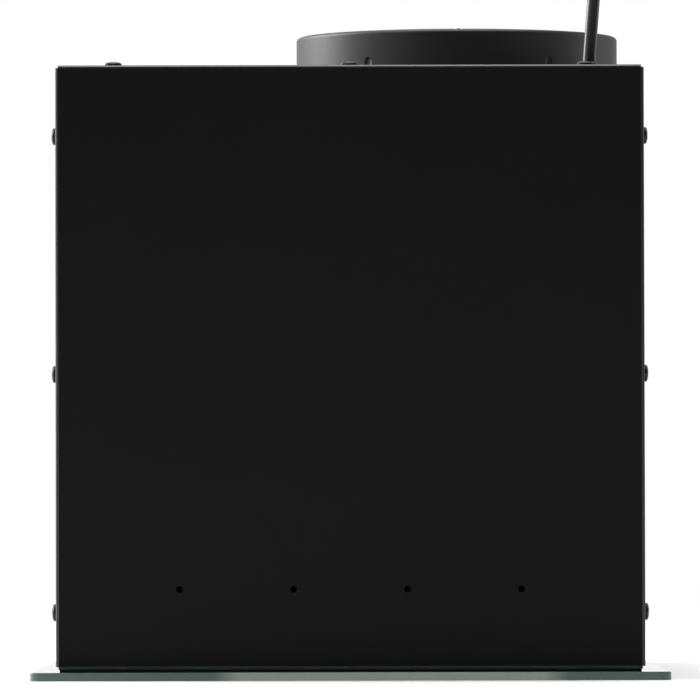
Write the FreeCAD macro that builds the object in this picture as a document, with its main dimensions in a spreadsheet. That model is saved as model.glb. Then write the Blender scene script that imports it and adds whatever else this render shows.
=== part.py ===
"""A box-type ducted fume extractor, as a FreeCAD 1.1 macro (millimetres).

X runs along the unit's width, +Y towards its rear, +Z up.  The origin is the centre of the glass
plate's underside, the face that the unit rests on.
"""
import FreeCAD, Part
import math
import os
import re
import Sketcher

Vector = FreeCAD.Vector
Rotation = FreeCAD.Rotation
Placement = FreeCAD.Placement

# alias, value: every driving dimension, in millimetres or degrees
DIMENSIONS = (
    ("casing_width", 520), ("casing_depth", 280), ("casing_top", 292.5), ("casing_foot", 5.2),
    ("sheet_steel", 1), ("bend_radius", 1.5), ("flange_depth", 20), ("corner_relief", 1.3),
    ("glass_width", 544), ("glass_depth", 304), ("glass_thick", 4), ("glass_corner", 5.5),
    ("glass_edge_round", 1), ("gasket_width", 10), ("gasket_inset", 1.8),
    ("opening_half", 196), ("opening_front", 59), ("opening_rear", 98), ("opening_corner", 8),
    ("cover_screw_pitch", 112.5), ("cover_screw_setback", 10), ("cover_screw_low", 32.3),
    ("cover_screw_rise", 113.35), ("cover_hole_radius", 1.6), ("cover_hole_pitch", 54.1),
    ("cover_hole_height", 43.2), ("screw_radius", 2), ("screw_head_radius", 4), ("screw_head_height", 2.1),
    ("base_level", 7.2), ("return_depth", 12), ("base_flange_top", 26),
    ("cassette_foot", 1), ("cassette_top", 10), ("mesh_level", 2.05), ("mesh_thick", 0.9), ("pad_thick", 5.9),
    ("carbon_width", 370), ("carbon_depth", 161), ("carbon_height", 18), ("carbon_foot", 22),
    ("carbon_rim", 4), ("carbon_skin", 1.5), ("carbon_play", 0.5),
    ("control_centre", 108), ("button_pitch", 24), ("button_radius", 5.8),
    ("lamp_offset", 218), ("lamp_depth", 19.5), ("lamp_radius", 15),
    ("collar_depth", 54.5), ("collar_radius", 81.3), ("collar_wall", 2.6), ("collar_top", 320.9),
    ("collar_base", 291.5), ("collar_throat", 68), ("collar_screw_circle", 75),
    ("flap_axis_level", 319.2), ("spindle_radius", 1.5), ("flap_radius", 77.9), ("flap_thick", 1),
    ("fan_depth", 16.9), ("fan_level", 160), ("scroll_radius", 75), ("scroll_step", 10.4),
    ("volute_wall", 1.5), ("volute_half", 52), ("inlet_radius", 60),
    ("impeller_radius", 72), ("blade_depth", 13), ("blade_count", 36), ("blade_thick", 1),
    ("motor_radius", 42), ("shaft_radius", 4), ("bearing_clearance", 0.05),
    ("cord_radius", 3), ("cord_exit_x", 228), ("cord_exit_y", 114.8),
    ("coil_radius", 33), ("coil_x", -324), ("coil_y", 45), ("coil_foot", 0.8),
    ("terminal_box_x", 200), ("terminal_box_length", 44), ("terminal_box_depth", 42),
    ("terminal_box_height", 40), ("terminal_box_foot", 230), ("terminal_box_wall", 2),
)

doc = FreeCAD.newDocument("FumeExtractor")
sheet = doc.addObject("Spreadsheet::Sheet", "Dims")
for row, (alias, value) in enumerate(DIMENSIONS, start=1):
    sheet.set(f"A{row}", alias)
    sheet.set(f"B{row}", str(value))
    sheet.setAlias(f"B{row}", alias)
doc.recompute()
ALIASES = {alias for alias, value in DIMENSIONS}
SUBPARTS = []


# ---------------------------------------------------------------- helpers

def dim(alias):
    """A size read back from the sheet."""
    return float(getattr(sheet, alias))


def linked(text):
    """An expression with each size's name turned into a reference to the sheet."""
    return re.sub(r"[a-z_]+", lambda m: "Dims." + m.group() if m.group() in ALIASES else m.group(), str(text))


def bind(obj, **expressions):
    for name, text in expressions.items():
        obj.setExpression(name, linked(text))
    return obj


def place(obj, x=0, y=0, z=0):
    for axis, text in zip("xyz", (x, y, z)):
        obj.setExpression(f"Placement.Base.{axis}", linked(text))
    return obj


def subpart(obj, name):
    """Register a finished object as one sub-part, under the name of its file."""
    obj.Label = name
    SUBPARTS.append(obj)
    return obj


def box(length, width, height, x, y, z):
    """A block with one corner at x, y, z."""
    block = bind(doc.addObject("Part::Box", "Block"), Length=length, Width=width, Height=height)
    return place(block, x, y, z)


def centred_box(length, width, height, x, y, z):
    """A block centred on x, y that stands on z."""
    return box(length, width, height, f"({x}) - ({length}) / 2", f"({y}) - ({width}) / 2", z)


def cylinder(radius, height, x, y, z, along="Z"):
    rod = bind(doc.addObject("Part::Cylinder", "Rod"), Radius=radius, Height=height)
    if along == "X":
        rod.Placement.Rotation = Rotation(Vector(0, 1, 0), 90)
    if along == "Y":
        rod.Placement.Rotation = Rotation(Vector(1, 0, 0), -90)
    return place(rod, x, y, z)


def fuse(*shapes):
    joined = doc.addObject("Part::MultiFuse", "Joined")
    joined.Shapes = list(shapes)
    return joined


def cut(base, *tools):
    result = doc.addObject("Part::Cut", "Trimmed")
    result.Base = base
    result.Tool = tools[0] if len(tools) == 1 else fuse(*tools)
    return result


def made(name, shape):
    """A sub-part whose shape is made here with Part's own functions."""
    feature = doc.addObject("Part::Feature", name)
    feature.Shape = shape
    return subpart(feature, name)


def new_body(name):
    return subpart(doc.addObject("PartDesign::Body", name), name)


def sketch_on(body, plane, offset=0):
    sketch = body.newObject("Sketcher::SketchObject", "Sketch")
    origin_plane = next(f for f in body.Origin.OriginFeatures if f.Role == plane + "_Plane")
    sketch.AttachmentSupport = [(origin_plane, "")]
    sketch.MapMode = "FlatFace"
    sign = -1 if plane == "XZ" else 1
    sketch.setExpression("AttachmentOffset.Base.z", linked(f"{sign} * ({offset})"))
    return sketch


def pin_point(sketch, geometry, position, x, y):
    """Fix one point of a sketch at the two expressions x and y."""
    for kind, text, axis in (("DistanceX", x, -2), ("DistanceY", y, -1)):
        if text == 0:
            sketch.addConstraint(Sketcher.Constraint("PointOnObject", geometry, position, axis))
            continue
        index = sketch.addConstraint(Sketcher.Constraint(kind, -1, 1, geometry, position, 1.0))
        sketch.setExpression(f"Constraints[{index}]", linked(text))


def outline(body, plane, points, offset=0):
    """A closed outline of straight lines through points given as pairs of expressions."""
    sketch = sketch_on(body, plane, offset)
    count = len(points)
    rough = [Vector(10 * math.cos(2 * math.pi * i / count), 10 * math.sin(2 * math.pi * i / count), 0)
             for i in range(count)]
    for i in range(count):
        sketch.addGeometry(Part.LineSegment(rough[i], rough[(i + 1) % count]), False)
    for i in range(count):
        sketch.addConstraint(Sketcher.Constraint("Coincident", i, 2, (i + 1) % count, 1))
    for i, (x, y) in enumerate(points):
        pin_point(sketch, i, 1, x, y)
    return sketch


def rectangle(x_low, y_low, x_high, y_high):
    return [(x_low, y_low), (x_high, y_low), (x_high, y_high), (x_low, y_high)]


def circles(body, plane, places, radius, offset=0):
    sketch = sketch_on(body, plane, offset)
    for i, (x, y) in enumerate(places):
        sketch.addGeometry(Part.Circle(Vector(5 * i, 0, 0), Vector(0, 0, 1), 1.0), False)
        pin_point(sketch, i, 3, x, y)
        index = sketch.addConstraint(Sketcher.Constraint("Radius", i, 1.0))
        sketch.setExpression(f"Constraints[{index}]", linked(radius))
    return sketch


def feature(body, kind, sketch, **expressions):
    """Add a feature from a sketch; pads and pockets both run towards the plane's positive axis."""
    towards_minus = sketch.AttachmentSupport[0][0].Role == "XZ_Plane"
    item = body.newObject("PartDesign::" + kind, kind)
    item.Profile = sketch
    item.Reversed = towards_minus if kind == "Pad" else not towards_minus
    return bind(item, **expressions)


def pad(body, plane, points, start, length):
    return feature(body, "Pad", outline(body, plane, points, start), Length=length)


def removes(body, make):
    """Recompute around a cutting feature and make sure that it takes material away."""
    doc.recompute()
    before = body.Shape.Volume
    item = make()
    doc.recompute()
    if body.Shape.Volume > before - 1e-3:
        raise RuntimeError(f"{body.Label}: {item.Name} removes nothing")
    return item


def pocket(body, plane, points, start, length):
    sketch = outline(body, plane, points, start)
    return removes(body, lambda: feature(body, "Pocket", sketch, Length=length))


def holes(body, plane, places, radius, start, length):
    sketch = circles(body, plane, places, radius, start)
    return removes(body, lambda: feature(body, "Pocket", sketch, Length=length))


def edges_where(shape, test):
    return [f"Edge{i}" for i, edge in enumerate(shape.Edges, start=1) if test(edge)]


def dress(body, kind, size_name, size, test):
    """A fillet or chamfer on those edges of the body's last feature that pass the test."""
    doc.recompute()
    base = body.Tip
    names = edges_where(base.Shape, test)
    if not names:
        raise RuntimeError(f"{body.Label}: no edge to {kind.lower()}")
    item = body.newObject("PartDesign::" + kind, kind)
    item.Base = (base, names)
    return bind(item, **{size_name: size})


def fillet(body, radius, test):
    return dress(body, "Fillet", "Radius", radius, test)


def revolve(body, points, plane="XZ"):
    """A solid of revolution about the Z axis of the body, from a half section in X and Z."""
    item = body.newObject("PartDesign::Revolution", "Revolution")
    item.Profile = outline(body, plane, points)
    item.ReferenceAxis = (item.Profile[0], ["V_Axis"])
    item.Angle = 360
    return item


def polar(body, original, count):
    doc.recompute()
    pattern = body.newObject("PartDesign::PolarPattern", "PolarPattern")
    pattern.Originals = [original]
    pattern.Axis = (original.Profile[0], ["N_Axis"])
    pattern.Angle = 360
    pattern.Occurrences = count
    body.Tip = pattern
    return pattern


def along(edge, axis, least=0.0):
    """True for a straight edge longer than least that runs along one axis."""
    ends = [vertex.Point for vertex in edge.Vertexes]
    if len(ends) != 2 or edge.Length <= least or not isinstance(edge.Curve, Part.Line):
        return False
    run = ends[1] - ends[0]
    others = [abs(getattr(run, name)) for name in "xyz" if name != axis]
    return max(others) < 1e-6


def copies(shape, spots):
    """One compound of the same solid at several placements."""
    return Part.makeCompound([shape.transformed(spot.toMatrix(), True) for spot in spots])


def at(x, y, z, turn=None):
    return Placement(Vector(x, y, z), turn or Rotation())


def round_section(points):
    """A solid of revolution about Z from radius and height pairs."""
    wire = Part.makePolygon([Vector(radius, 0, height) for radius, height in points + points[:1]])
    return Part.Face(wire).revolve(Vector(0, 0, 0), Vector(0, 0, 1), 360)


def ring_at(centre, outer, inner, start, length):
    """A short tube along X whose near face is start away from a centre."""
    foot = centre + Vector(start, 0, 0)
    tube = Part.makeCylinder(outer, length, foot, Vector(1, 0, 0))
    return tube.cut(Part.makeCylinder(inner, length, foot, Vector(1, 0, 0)))


TO_FRONT = Rotation(Vector(1, 0, 0), 90)
TO_REAR = Rotation(Vector(1, 0, 0), -90)
TO_LEFT = Rotation(Vector(0, 1, 0), -90)
TO_RIGHT = Rotation(Vector(0, 1, 0), 90)


def pan_screw(head_radius, head_height, shank_radius, shank_length):
    """A pan-head cross-recess screw: its head stands on z = 0, its shank points down."""
    crown = 0.55
    screw = round_section([(0, -shank_length), (shank_radius, -shank_length), (shank_radius, 0),
                           (head_radius, 0), (head_radius, crown * head_height),
                           (0.7 * head_radius, head_height), (0, head_height)])
    slot = 0.25 * head_radius
    reach = 1.1 * head_radius
    depth = 0.6 * head_height
    for length, width in ((reach, slot), (slot, reach)):
        corner = Vector(-length / 2, -width / 2, head_height - depth)
        screw = screw.cut(Part.makeBox(length, width, depth, corner))
    return screw


# ---------------------------------------------------------------- sheet-metal case

HALF_DEPTH = "casing_depth / 2"
WALL = "(casing_depth / 2 - sheet_steel)"
ROOF = "(casing_top - sheet_steel)"
COVER_INSIDE = "(casing_width / 2 - sheet_steel)"
GLASS_FIXINGS = [(x, y) for x in (-205, -95, 95, 205) for y in (-84, 119)]
RIVET_STEP = 104
RIVET_RADIUS = 1.6
SHANK = 7
LAMPS = [("-lamp_offset", "lamp_depth"), ("lamp_offset", "lamp_depth")]


def casing_wrap():
    """Top, front and rear in one folded sheet, with a short return along both lower edges."""
    body = new_body("casing_wrap")
    foot = "casing_foot + sheet_steel"
    inner_roof = f"({ROOF} - sheet_steel)"
    inner_wall = f"({WALL} - sheet_steel)"
    lip = f"({WALL} - return_depth)"
    profile = [(f"-{WALL}", foot), (f"-{lip}", foot), (f"-{lip}", f"{foot} + sheet_steel"),
               (f"-{inner_wall}", f"{foot} + sheet_steel"), (f"-{inner_wall}", inner_roof),
               (inner_wall, inner_roof), (inner_wall, f"{foot} + sheet_steel"),
               (lip, f"{foot} + sheet_steel"), (lip, foot), (WALL, foot), (WALL, ROOF), (f"-{WALL}", ROOF)]
    gap = 0.1
    half = f"({COVER_INSIDE} - {gap})"
    pad(body, "YZ", profile, f"-{half}", f"2 * {half}")
    skin = dim("sheet_steel")
    wall, levels = dim("casing_depth") / 2 - skin, (dim("casing_top") - skin, dim("casing_foot") + skin)
    fillet(body, "bend_radius", lambda e: along(e, "x", 400) and abs(abs(e.CenterOfMass.y) - wall) < 0.01
           and min(abs(e.CenterOfMass.z - level) for level in levels) < 0.01)
    holes(body, "XY", [(0, "collar_depth")], "collar_throat + 3.5", f"{inner_roof} - 1", 4)
    holes(body, "XY", [("cord_exit_x", "cord_exit_y")], 5, f"{inner_roof} - 1", 4)
    ring = "collar_screw_circle * 0.70711"
    spots = [(f"{i} * {ring}", f"collar_depth + {j} * {ring}") for i in (-1, 1) for j in (-1, 1)]
    holes(body, "XY", spots, 1.8, f"{inner_roof} - 1", 4)
    reach = "(casing_width / 2 - cover_screw_setback)"
    ends = [f"-{reach}", reach]
    across = [(x, f"{k} * cover_screw_pitch") for x in ends for k in (-1, 1)] + [(x, 0) for x in ends]
    holes(body, "XY", across, "screw_radius + 0.1", f"{inner_roof} - 1", 4)
    upright = [(x, f"cover_screw_low + {k} * cover_screw_rise") for x in ends for k in range(3)]
    holes(body, "XZ", upright, "screw_radius + 0.1", f"-{WALL} - 1", "casing_depth + 2")
    holes(body, "XZ", rivet_places(), RIVET_RADIUS + 0.1, f"-{WALL} - 1", "casing_depth + 2")


def rivet_places():
    """X and Z of the rivets through the front and rear walls."""
    return [(k * RIVET_STEP, "base_flange_top - 8") for k in range(-2, 3)]


def opposite(sign):
    return "-" if sign == "+" else "+"


def end_cover(name, side):
    """A folded cover: a flat face with a flange on all four sides, relieved at the corners."""
    body = new_body(name)
    left, right = f"-{HALF_DEPTH}", HALF_DEPTH
    low, high, nick = "casing_foot", "casing_top", "corner_relief"
    mouth = "casing_width / 2 - flange_depth"
    pad(body, "YZ", rectangle(left, low, right, high), mouth, "flange_depth")
    face = dim("casing_width") / 2
    fillet(body, "bend_radius", lambda e: abs(e.CenterOfMass.x - face) < 0.01)
    inside = rectangle(f"{left} + sheet_steel", f"{low} + sheet_steel", f"{right} - sheet_steel",
                       f"{high} - sheet_steel")
    pocket(body, "YZ", inside, mouth, "flange_depth - sheet_steel")
    for y, outward in ((left, "-"), (right, "+")):
        for z, away in ((low, "-"), (high, "+")):
            ys = (f"{y} {outward} 1", f"{y} {opposite(outward)} {nick}")
            zs = (f"{z} {away} 1", f"{z} {opposite(away)} {nick}")
            pocket(body, "YZ", rectangle(ys[0], zs[0], ys[1], zs[1]), f"{mouth} - 1", "flange_depth + 2")
    row = [(f"{k} * cover_hole_pitch", "cover_hole_height") for k in (-1.5, -0.5, 0.5, 1.5)]
    holes(body, "YZ", row, "cover_hole_radius", COVER_INSIDE + " - 1", 4)
    line = "casing_width / 2 - cover_screw_setback"
    holes(body, "XY", [(line, "-cover_screw_pitch"), (line, 0), (line, "cover_screw_pitch")],
          "screw_radius + 0.1", f"{ROOF} - 1", 4)
    upright = [(line, f"cover_screw_low + {k} * cover_screw_rise") for k in range(3)]
    holes(body, "XZ", upright, "screw_radius + 0.1", f"-{HALF_DEPTH} - 1", "casing_depth + 2")
    if side < 0:
        body.Placement = Placement(Vector(), Rotation(Vector(0, 0, 1), 180))


def cover_screws(name, side):
    """Nine pan-head screws round one end cover: three on top, three in front, three behind."""
    screw = pan_screw(dim("screw_head_radius"), dim("screw_head_height"), dim("screw_radius"), SHANK)
    x = side * (dim("casing_width") / 2 - dim("cover_screw_setback"))
    half_depth = dim("casing_depth") / 2
    spots = [at(x, k * dim("cover_screw_pitch"), dim("casing_top")) for k in (-1, 0, 1)]
    for k in range(3):
        height = dim("cover_screw_low") + k * dim("cover_screw_rise")
        spots.append(at(x, -half_depth, height, TO_FRONT))
        spots.append(at(x, half_depth, height, TO_REAR))
    made(name, copies(screw, spots))


def base_frame():
    """The folded pan that carries glass, filters and controls."""
    body = new_body("base_frame")
    edge = f"({WALL} - sheet_steel - 0.2)"
    top = "base_level + sheet_steel"
    profile = [(f"-{edge}", "base_level"), (edge, "base_level"), (edge, "base_flange_top"),
               (f"{edge} - sheet_steel", "base_flange_top"), (f"{edge} - sheet_steel", top),
               (f"-{edge} + sheet_steel", top), (f"-{edge} + sheet_steel", "base_flange_top"),
               (f"-{edge}", "base_flange_top")]
    half = "(casing_width / 2 - 2.4)"
    pad(body, "YZ", profile, f"-{half}", f"2 * {half}")
    under = "base_level - 1"
    window = rectangle("-opening_half - 1", "-opening_front - 1", "opening_half + 1", "opening_rear + 1")
    pocket(body, "XY", window, under, 4)
    pocket(body, "XY", rectangle(-62, "-control_centre - 8.5", 62, "-control_centre + 8.5"), under, 4)
    holes(body, "XY", LAMPS, "lamp_radius + 2", under, 4)
    holes(body, "XY", GLASS_FIXINGS, 2.7, under, 4)
    holes(body, "XZ", rivet_places(), RIVET_RADIUS + 0.1, f"-{WALL} - 1", "casing_depth + 2")


def base_rivets():
    """Blind rivets that hold the base frame between the front and rear walls."""
    rivet = round_section([(0, -3), (RIVET_RADIUS, -3), (RIVET_RADIUS, 0), (3.2, 0), (3.0, 0.5), (1.8, 1.0),
                           (0, 1.1)])
    wall = dim("casing_depth") / 2 - dim("sheet_steel")
    height = dim("base_flange_top") - 8
    spots = []
    for k in range(-2, 3):
        spots.append(at(k * RIVET_STEP, -wall, height, TO_FRONT))
        spots.append(at(k * RIVET_STEP, wall, height, TO_REAR))
    made("base_rivets", copies(rivet, spots))


# ---------------------------------------------------------------- glass

def glass_plate():
    """The glass plate, with openings for the filter cassette, the controls and two lamps."""
    body = new_body("glass_plate")
    wide, deep = "glass_width / 2", "glass_depth / 2"
    pad(body, "XY", rectangle(f"-{wide}", f"-{deep}", wide, deep), 0, "glass_thick")
    fillet(body, "glass_corner", lambda e: along(e, "z"))
    reach = dim("glass_width") / 2 - dim("glass_corner") - 1
    depth = dim("casing_depth") / 2
    fillet(body, "glass_edge_round", lambda e: abs(e.CenterOfMass.x) > reach or abs(e.CenterOfMass.y) > depth)
    pocket(body, "XY", rectangle("-opening_half", "-opening_front", "opening_half", "opening_rear"), -1, 6)
    limit = dim("opening_half") + 1
    fillet(body, "opening_corner", lambda e: along(e, "z") and abs(e.CenterOfMass.x) < limit
           and abs(e.CenterOfMass.y) < 120)
    pocket(body, "XY", rectangle(-65, "-control_centre - 11", 65, "-control_centre + 11"), -1, 6)
    holes(body, "XY", LAMPS, "lamp_radius + 0.5", -1, 6)


def glass_gasket():
    """Foam strip round the glass, thicker along front and rear where the covers' flanges end."""
    body = new_body("glass_gasket")
    wide, deep = "(casing_width / 2 - gasket_inset)", "(casing_depth / 2 - gasket_inset)"
    height = "casing_foot - glass_thick"
    pad(body, "XY", rectangle(f"-{wide}", f"-{deep}", wide, deep), "glass_thick", height)
    strip = "(casing_width / 2 - flange_depth - 0.2)"
    inner = f"({deep} - gasket_width)"
    for low, high in ((f"-{deep}", f"-{inner}"), (inner, deep)):
        pad(body, "XY", rectangle(f"-{strip}", low, strip, high), "casing_foot", "sheet_steel")
    across = f"({wide} - gasket_width)"
    pocket(body, "XY", rectangle(f"-{across}", f"-{inner}", across, inner), "glass_thick - 1", 6)


def glass_fixings():
    """Threaded studs on discs bonded to the glass, and the nuts that pull it to the base frame."""
    foot, plate = dim("glass_thick"), dim("base_level")
    stud = round_section([(0, foot), (7.5, foot), (7.5, plate - 0.4), (6.5, plate), (2.5, plate), (2.5, 15.5),
                          (2, 16), (0, 16)])
    made("glass_fixings", copies(stud, [at(x, y, 0) for x, y in GLASS_FIXINGS]))
    seat = plate + dim("sheet_steel")
    corner_radius, nut_height, thread_radius = 4.6, 4, 2.5
    corners = [Vector(corner_radius * math.cos(math.radians(60 * k)),
                      corner_radius * math.sin(math.radians(60 * k)), seat) for k in range(7)]
    nut = Part.Face(Part.makePolygon(corners)).extrude(Vector(0, 0, nut_height))
    nut = nut.cut(Part.makeCylinder(thread_radius, nut_height, Vector(0, 0, seat)))
    made("glass_nuts", copies(nut, [at(x, y, 0) for x, y in GLASS_FIXINGS]))


# ---------------------------------------------------------------- filters

HINGE_X, HINGE_Z = -182.5, 5.5
CASSETTE = (-194.5, -57.5, 194.5, 96.5)
LATCH = (170.5, 5.5, 202.0, 33.5)


def filter_cassette():
    """The washable cassette: frame, woven mesh face, fibre pad, latch, latch spring."""
    x0, y0, x1, y1 = CASSETTE
    latch_x, latch_y, latch_end, latch_rear = LATCH
    partition = 162
    frame = new_body("filter_frame")
    pad(frame, "XY", rectangle(x0, y0, x1, y1), "cassette_foot", "cassette_top - cassette_foot")
    fillet(frame, 7, lambda e: along(e, "z"))
    window = rectangle(x0 + 15, y0 + 13, partition - 15.5, y1 - 13)
    filter_room = rectangle(x0 + 2, y0 + 2, partition, y1 - 2)
    latch_room = rectangle(partition + 1, latch_y - 2, x1 + 4.5, latch_rear + 2)
    finger_slot = rectangle(latch_x + 0.5, latch_y + 4.5, latch_x + 17.5, latch_rear - 4.5)
    pocket(frame, "XY", window, -1, 12)
    pocket(frame, "XY", filter_room, 2, 7)
    pocket(frame, "XY", latch_room, 2.5, 8)
    pocket(frame, "XY", finger_slot, -1, 4)
    holes(frame, "XZ", [(HINGE_X, HINGE_Z)], 1.3, -80, 200)
    for name, level, thick in (("filter_mesh", "mesh_level", "mesh_thick"),
                               ("filter_pad", "mesh_level + mesh_thick + 0.05", "pad_thick")):
        subpart(box(partition + 178, y1 - y0 - 6, thick, -178, y0 + 3, level), name)
    plate = box(latch_end - latch_x, latch_rear - latch_y, 1.4, latch_x, latch_y, 8.5)
    grip = box(5.5, 14, 7.2, latch_x + 8, latch_y + 7, 1.4)
    subpart(fuse(plate, grip), "filter_latch")
    spring = [cylinder(radius, 7, partition + 1.2, latch_y + 3, 6.2, "X") for radius in (1.6, 1.0)]
    subpart(cut(*spring), "latch_spring")


def filter_hinges():
    """Two lugs under the base frame, each with the pin that the cassette swings on."""
    lug_length, lug_width, lug_foot, pin_length = 11, 5.5, 4.1, 11.5
    lugs = []
    for y_lug, y_pin in ((-66.5, -66.5), (99.5, 93.5)):
        corner = Vector(HINGE_X - lug_length / 2, y_lug, lug_foot)
        lug = Part.makeBox(lug_length, lug_width, dim("base_level") - lug_foot, corner)
        pin = Part.makeCylinder(1.2, pin_length, Vector(HINGE_X, y_pin, HINGE_Z), Vector(0, 1, 0))
        lugs.append(lug.fuse(pin).removeSplitter())
    made("filter_hinges", Part.makeCompound(lugs))


def carbon_filter():
    """The carbon panel: a plastic frame with open bays, the mat in it, and the rails under it."""
    front = -61.5
    wide, deep, high = "carbon_width", "carbon_depth", "carbon_height"
    shell = box(wide, deep, high, f"-{wide} / 2", front, "carbon_foot")
    room = box(f"{wide} - 2 * carbon_rim", f"{deep} - 2 * carbon_rim", f"{high} - 2 * carbon_skin",
               f"carbon_rim - {wide} / 2", f"{front} + carbon_rim", "carbon_foot + carbon_skin")
    bay_x, bay_y, step_x, step_y = 82, 68, 90, 78
    bays = [box(bay_x, bay_y, 2 * dim("carbon_height"), -176 + step_x * i, -54 + step_y * j, 10)
            for i in range(4) for j in range(2)]
    subpart(cut(shell, room, *bays), "carbon_frame")
    inset = "(carbon_rim + carbon_play)"
    mat = box(f"{wide} - 2 * {inset}", f"{deep} - 2 * {inset}", f"{high} - 2 * carbon_skin - 0.6",
              f"{inset} - {wide} / 2", f"{front} + {inset}", "carbon_foot + carbon_skin + 0.3")
    subpart(mat, "carbon_mat")
    foot, shelf, top = "base_level + sheet_steel", "(carbon_foot - sheet_steel)", 46
    for name, web, outward in (("carbon_rail_front", -62, -1), ("carbon_rail_rear", 100, 1)):
        rail = new_body(name)
        skin, toe, ledge = web + outward, web + 12 * outward, web - 9 * outward
        section = [(toe, foot), (toe, f"{foot} + 1"), (skin, f"{foot} + 1"), (skin, top), (web, top),
                   (web, f"{shelf} + 1"), (ledge, f"{shelf} + 1"), (ledge, shelf), (web, shelf), (web, foot)]
        pad(rail, "YZ", section, -186, 372)


# ---------------------------------------------------------------- controls and lamps

BUTTONS = ("button_off", "button_low", "button_mid", "button_high", "button_lamp")


def controls():
    """Bezel in the glass, five push buttons, switch block and its board."""
    row, foot, seat = "-control_centre", "base_level + sheet_steel", 13.2
    places = [(k * dim("button_pitch"), row) for k in range(-2, 3)]
    bezel = new_body("control_bezel")
    pad(bezel, "XY", rectangle(-64, f"{row} - 10", 64, f"{row} + 10"), 0.5, 3.6)
    pad(bezel, "XY", rectangle(-70, f"{row} - 16", 70, f"{row} + 16"), "glass_thick", 2)
    holes(bezel, "XY", places, "button_radius + 0.4", -1, 8)
    cap, flange, stem, travel_stop = "button_radius", 7.2, 2.5, 6.3
    for name, (x, y) in zip(BUTTONS, places):
        body = new_body(name)
        revolve(body, [(0, 1.0), (f"{cap} - 0.4", 0.8), (cap, 1.2), (cap, travel_stop), (flange, travel_stop),
                       (flange, 7.6), (stem, 7.6), (stem, 12.5), (0, 12.5)])
        place(body, x, y, 0)
    block = box(124, 20, 14, -62, f"{row} - 10", seat)
    feet = [box(8, 20, 19, x, f"{row} - 10", foot) for x in (-70, 62)]
    bores = [cylinder(stem + 0.5, 6, x, y, 12, "Z") for x, y in places]
    subpart(cut(fuse(block, *feet), *bores), "switch_block")
    subpart(centred_box(144, 30, 1.6, 0, row, f"{seat} + 14"), "control_board")


def turned_pair(name, points):
    """The same turned piece in both lamp places."""
    spots = [at(side * dim("lamp_offset"), dim("lamp_depth"), 0) for side in (-1, 1)]
    made(name, copies(round_section(points), spots))


def lamps():
    """Two round LED lamps: bezel in the glass, lens, board behind."""
    radius, lip = dim("lamp_radius"), 3
    inner, outer, plate = radius - lip, radius + lip, dim("glass_thick")
    turned_pair("lamp_bezels", [(inner, 0.5), (radius, 0.5), (radius, plate), (outer, plate),
                                (outer, plate + 1.5), (inner, plate + 1.5)])
    turned_pair("lamp_lenses", [(0, 0.8), (inner - 2, 0.8), (inner - 0.1, 1.6), (inner - 0.1, 3.6), (0, 3.6)])
    turned_pair("lamp_boards", [(0, plate + 1.5), (radius - 0.5, plate + 1.5), (radius - 0.5, plate + 3.1),
                                (0, plate + 3.1)])


# ---------------------------------------------------------------- blower

def scroll_area(grow):
    """The blower's spiral: four arcs about the corners of a small square, and the way up and out."""
    step, first = dim("scroll_step"), dim("scroll_radius")
    y, z = -dim("fan_depth") - step / 2, dim("fan_level") - step / 2
    centres = [(y, z + step), (y, z), (y + step, z), (y + step, z + step)]
    spans = [(62, 90), (90, 180), (180, 270), (270, 360)]
    edges, ends = [], []
    for k, ((cy, cz), (start, stop)) in enumerate(zip(centres, spans)):
        radius = first + k * step + grow
        spots = [Vector(0, cy + radius * math.cos(math.radians(a)), cz + radius * math.sin(math.radians(a)))
                 for a in (start, (start + stop) / 2, stop)]
        edges.append(Part.Arc(*spots).toShape())
        ends += [spots[0], spots[2]]
    edges.append(Part.LineSegment(ends[-1], ends[0]).toShape())
    return Part.Face(Part.Wire(edges)), centres[3][0] + first + 3 * step


def fan_centre():
    return Vector(0, -dim("fan_depth"), dim("fan_level"))


def scroll_solid(grow, half):
    """The scroll and its riser as one solid, grown outwards all round."""
    roof = dim("casing_top") - 2 * dim("sheet_steel")
    riser_depth = 80
    area, outer_y = scroll_area(grow)
    drum = area.extrude(Vector(2 * half, 0, 0))
    drum.translate(Vector(-half, 0, 0))
    corner = Vector(-half, outer_y - riser_depth - grow, dim("fan_level"))
    return drum.fuse(Part.makeBox(2 * half, riser_depth + 2 * grow, roof - dim("fan_level"), corner))


def collar_screw_places():
    """Offsets of the four collar screws from the collar's axis."""
    ring = dim("collar_screw_circle") * math.sqrt(0.5)
    return [(i * ring, j * ring) for i in (-1, 1) for j in (-1, 1)]


def scroll_ears():
    """Where the two halves are screwed together: fan-side points outside the spiral."""
    centre = fan_centre()
    places = []
    for angle in (120, 165, 210, 255, 300):
        spiral = dim("scroll_radius") + dim("scroll_step") * (angle - 45) / 90
        reach = spiral + dim("volute_wall") + 4
        turn = math.radians(angle)
        places.append(centre + Vector(0, reach * math.cos(turn), reach * math.sin(turn)))
    return places


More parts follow.
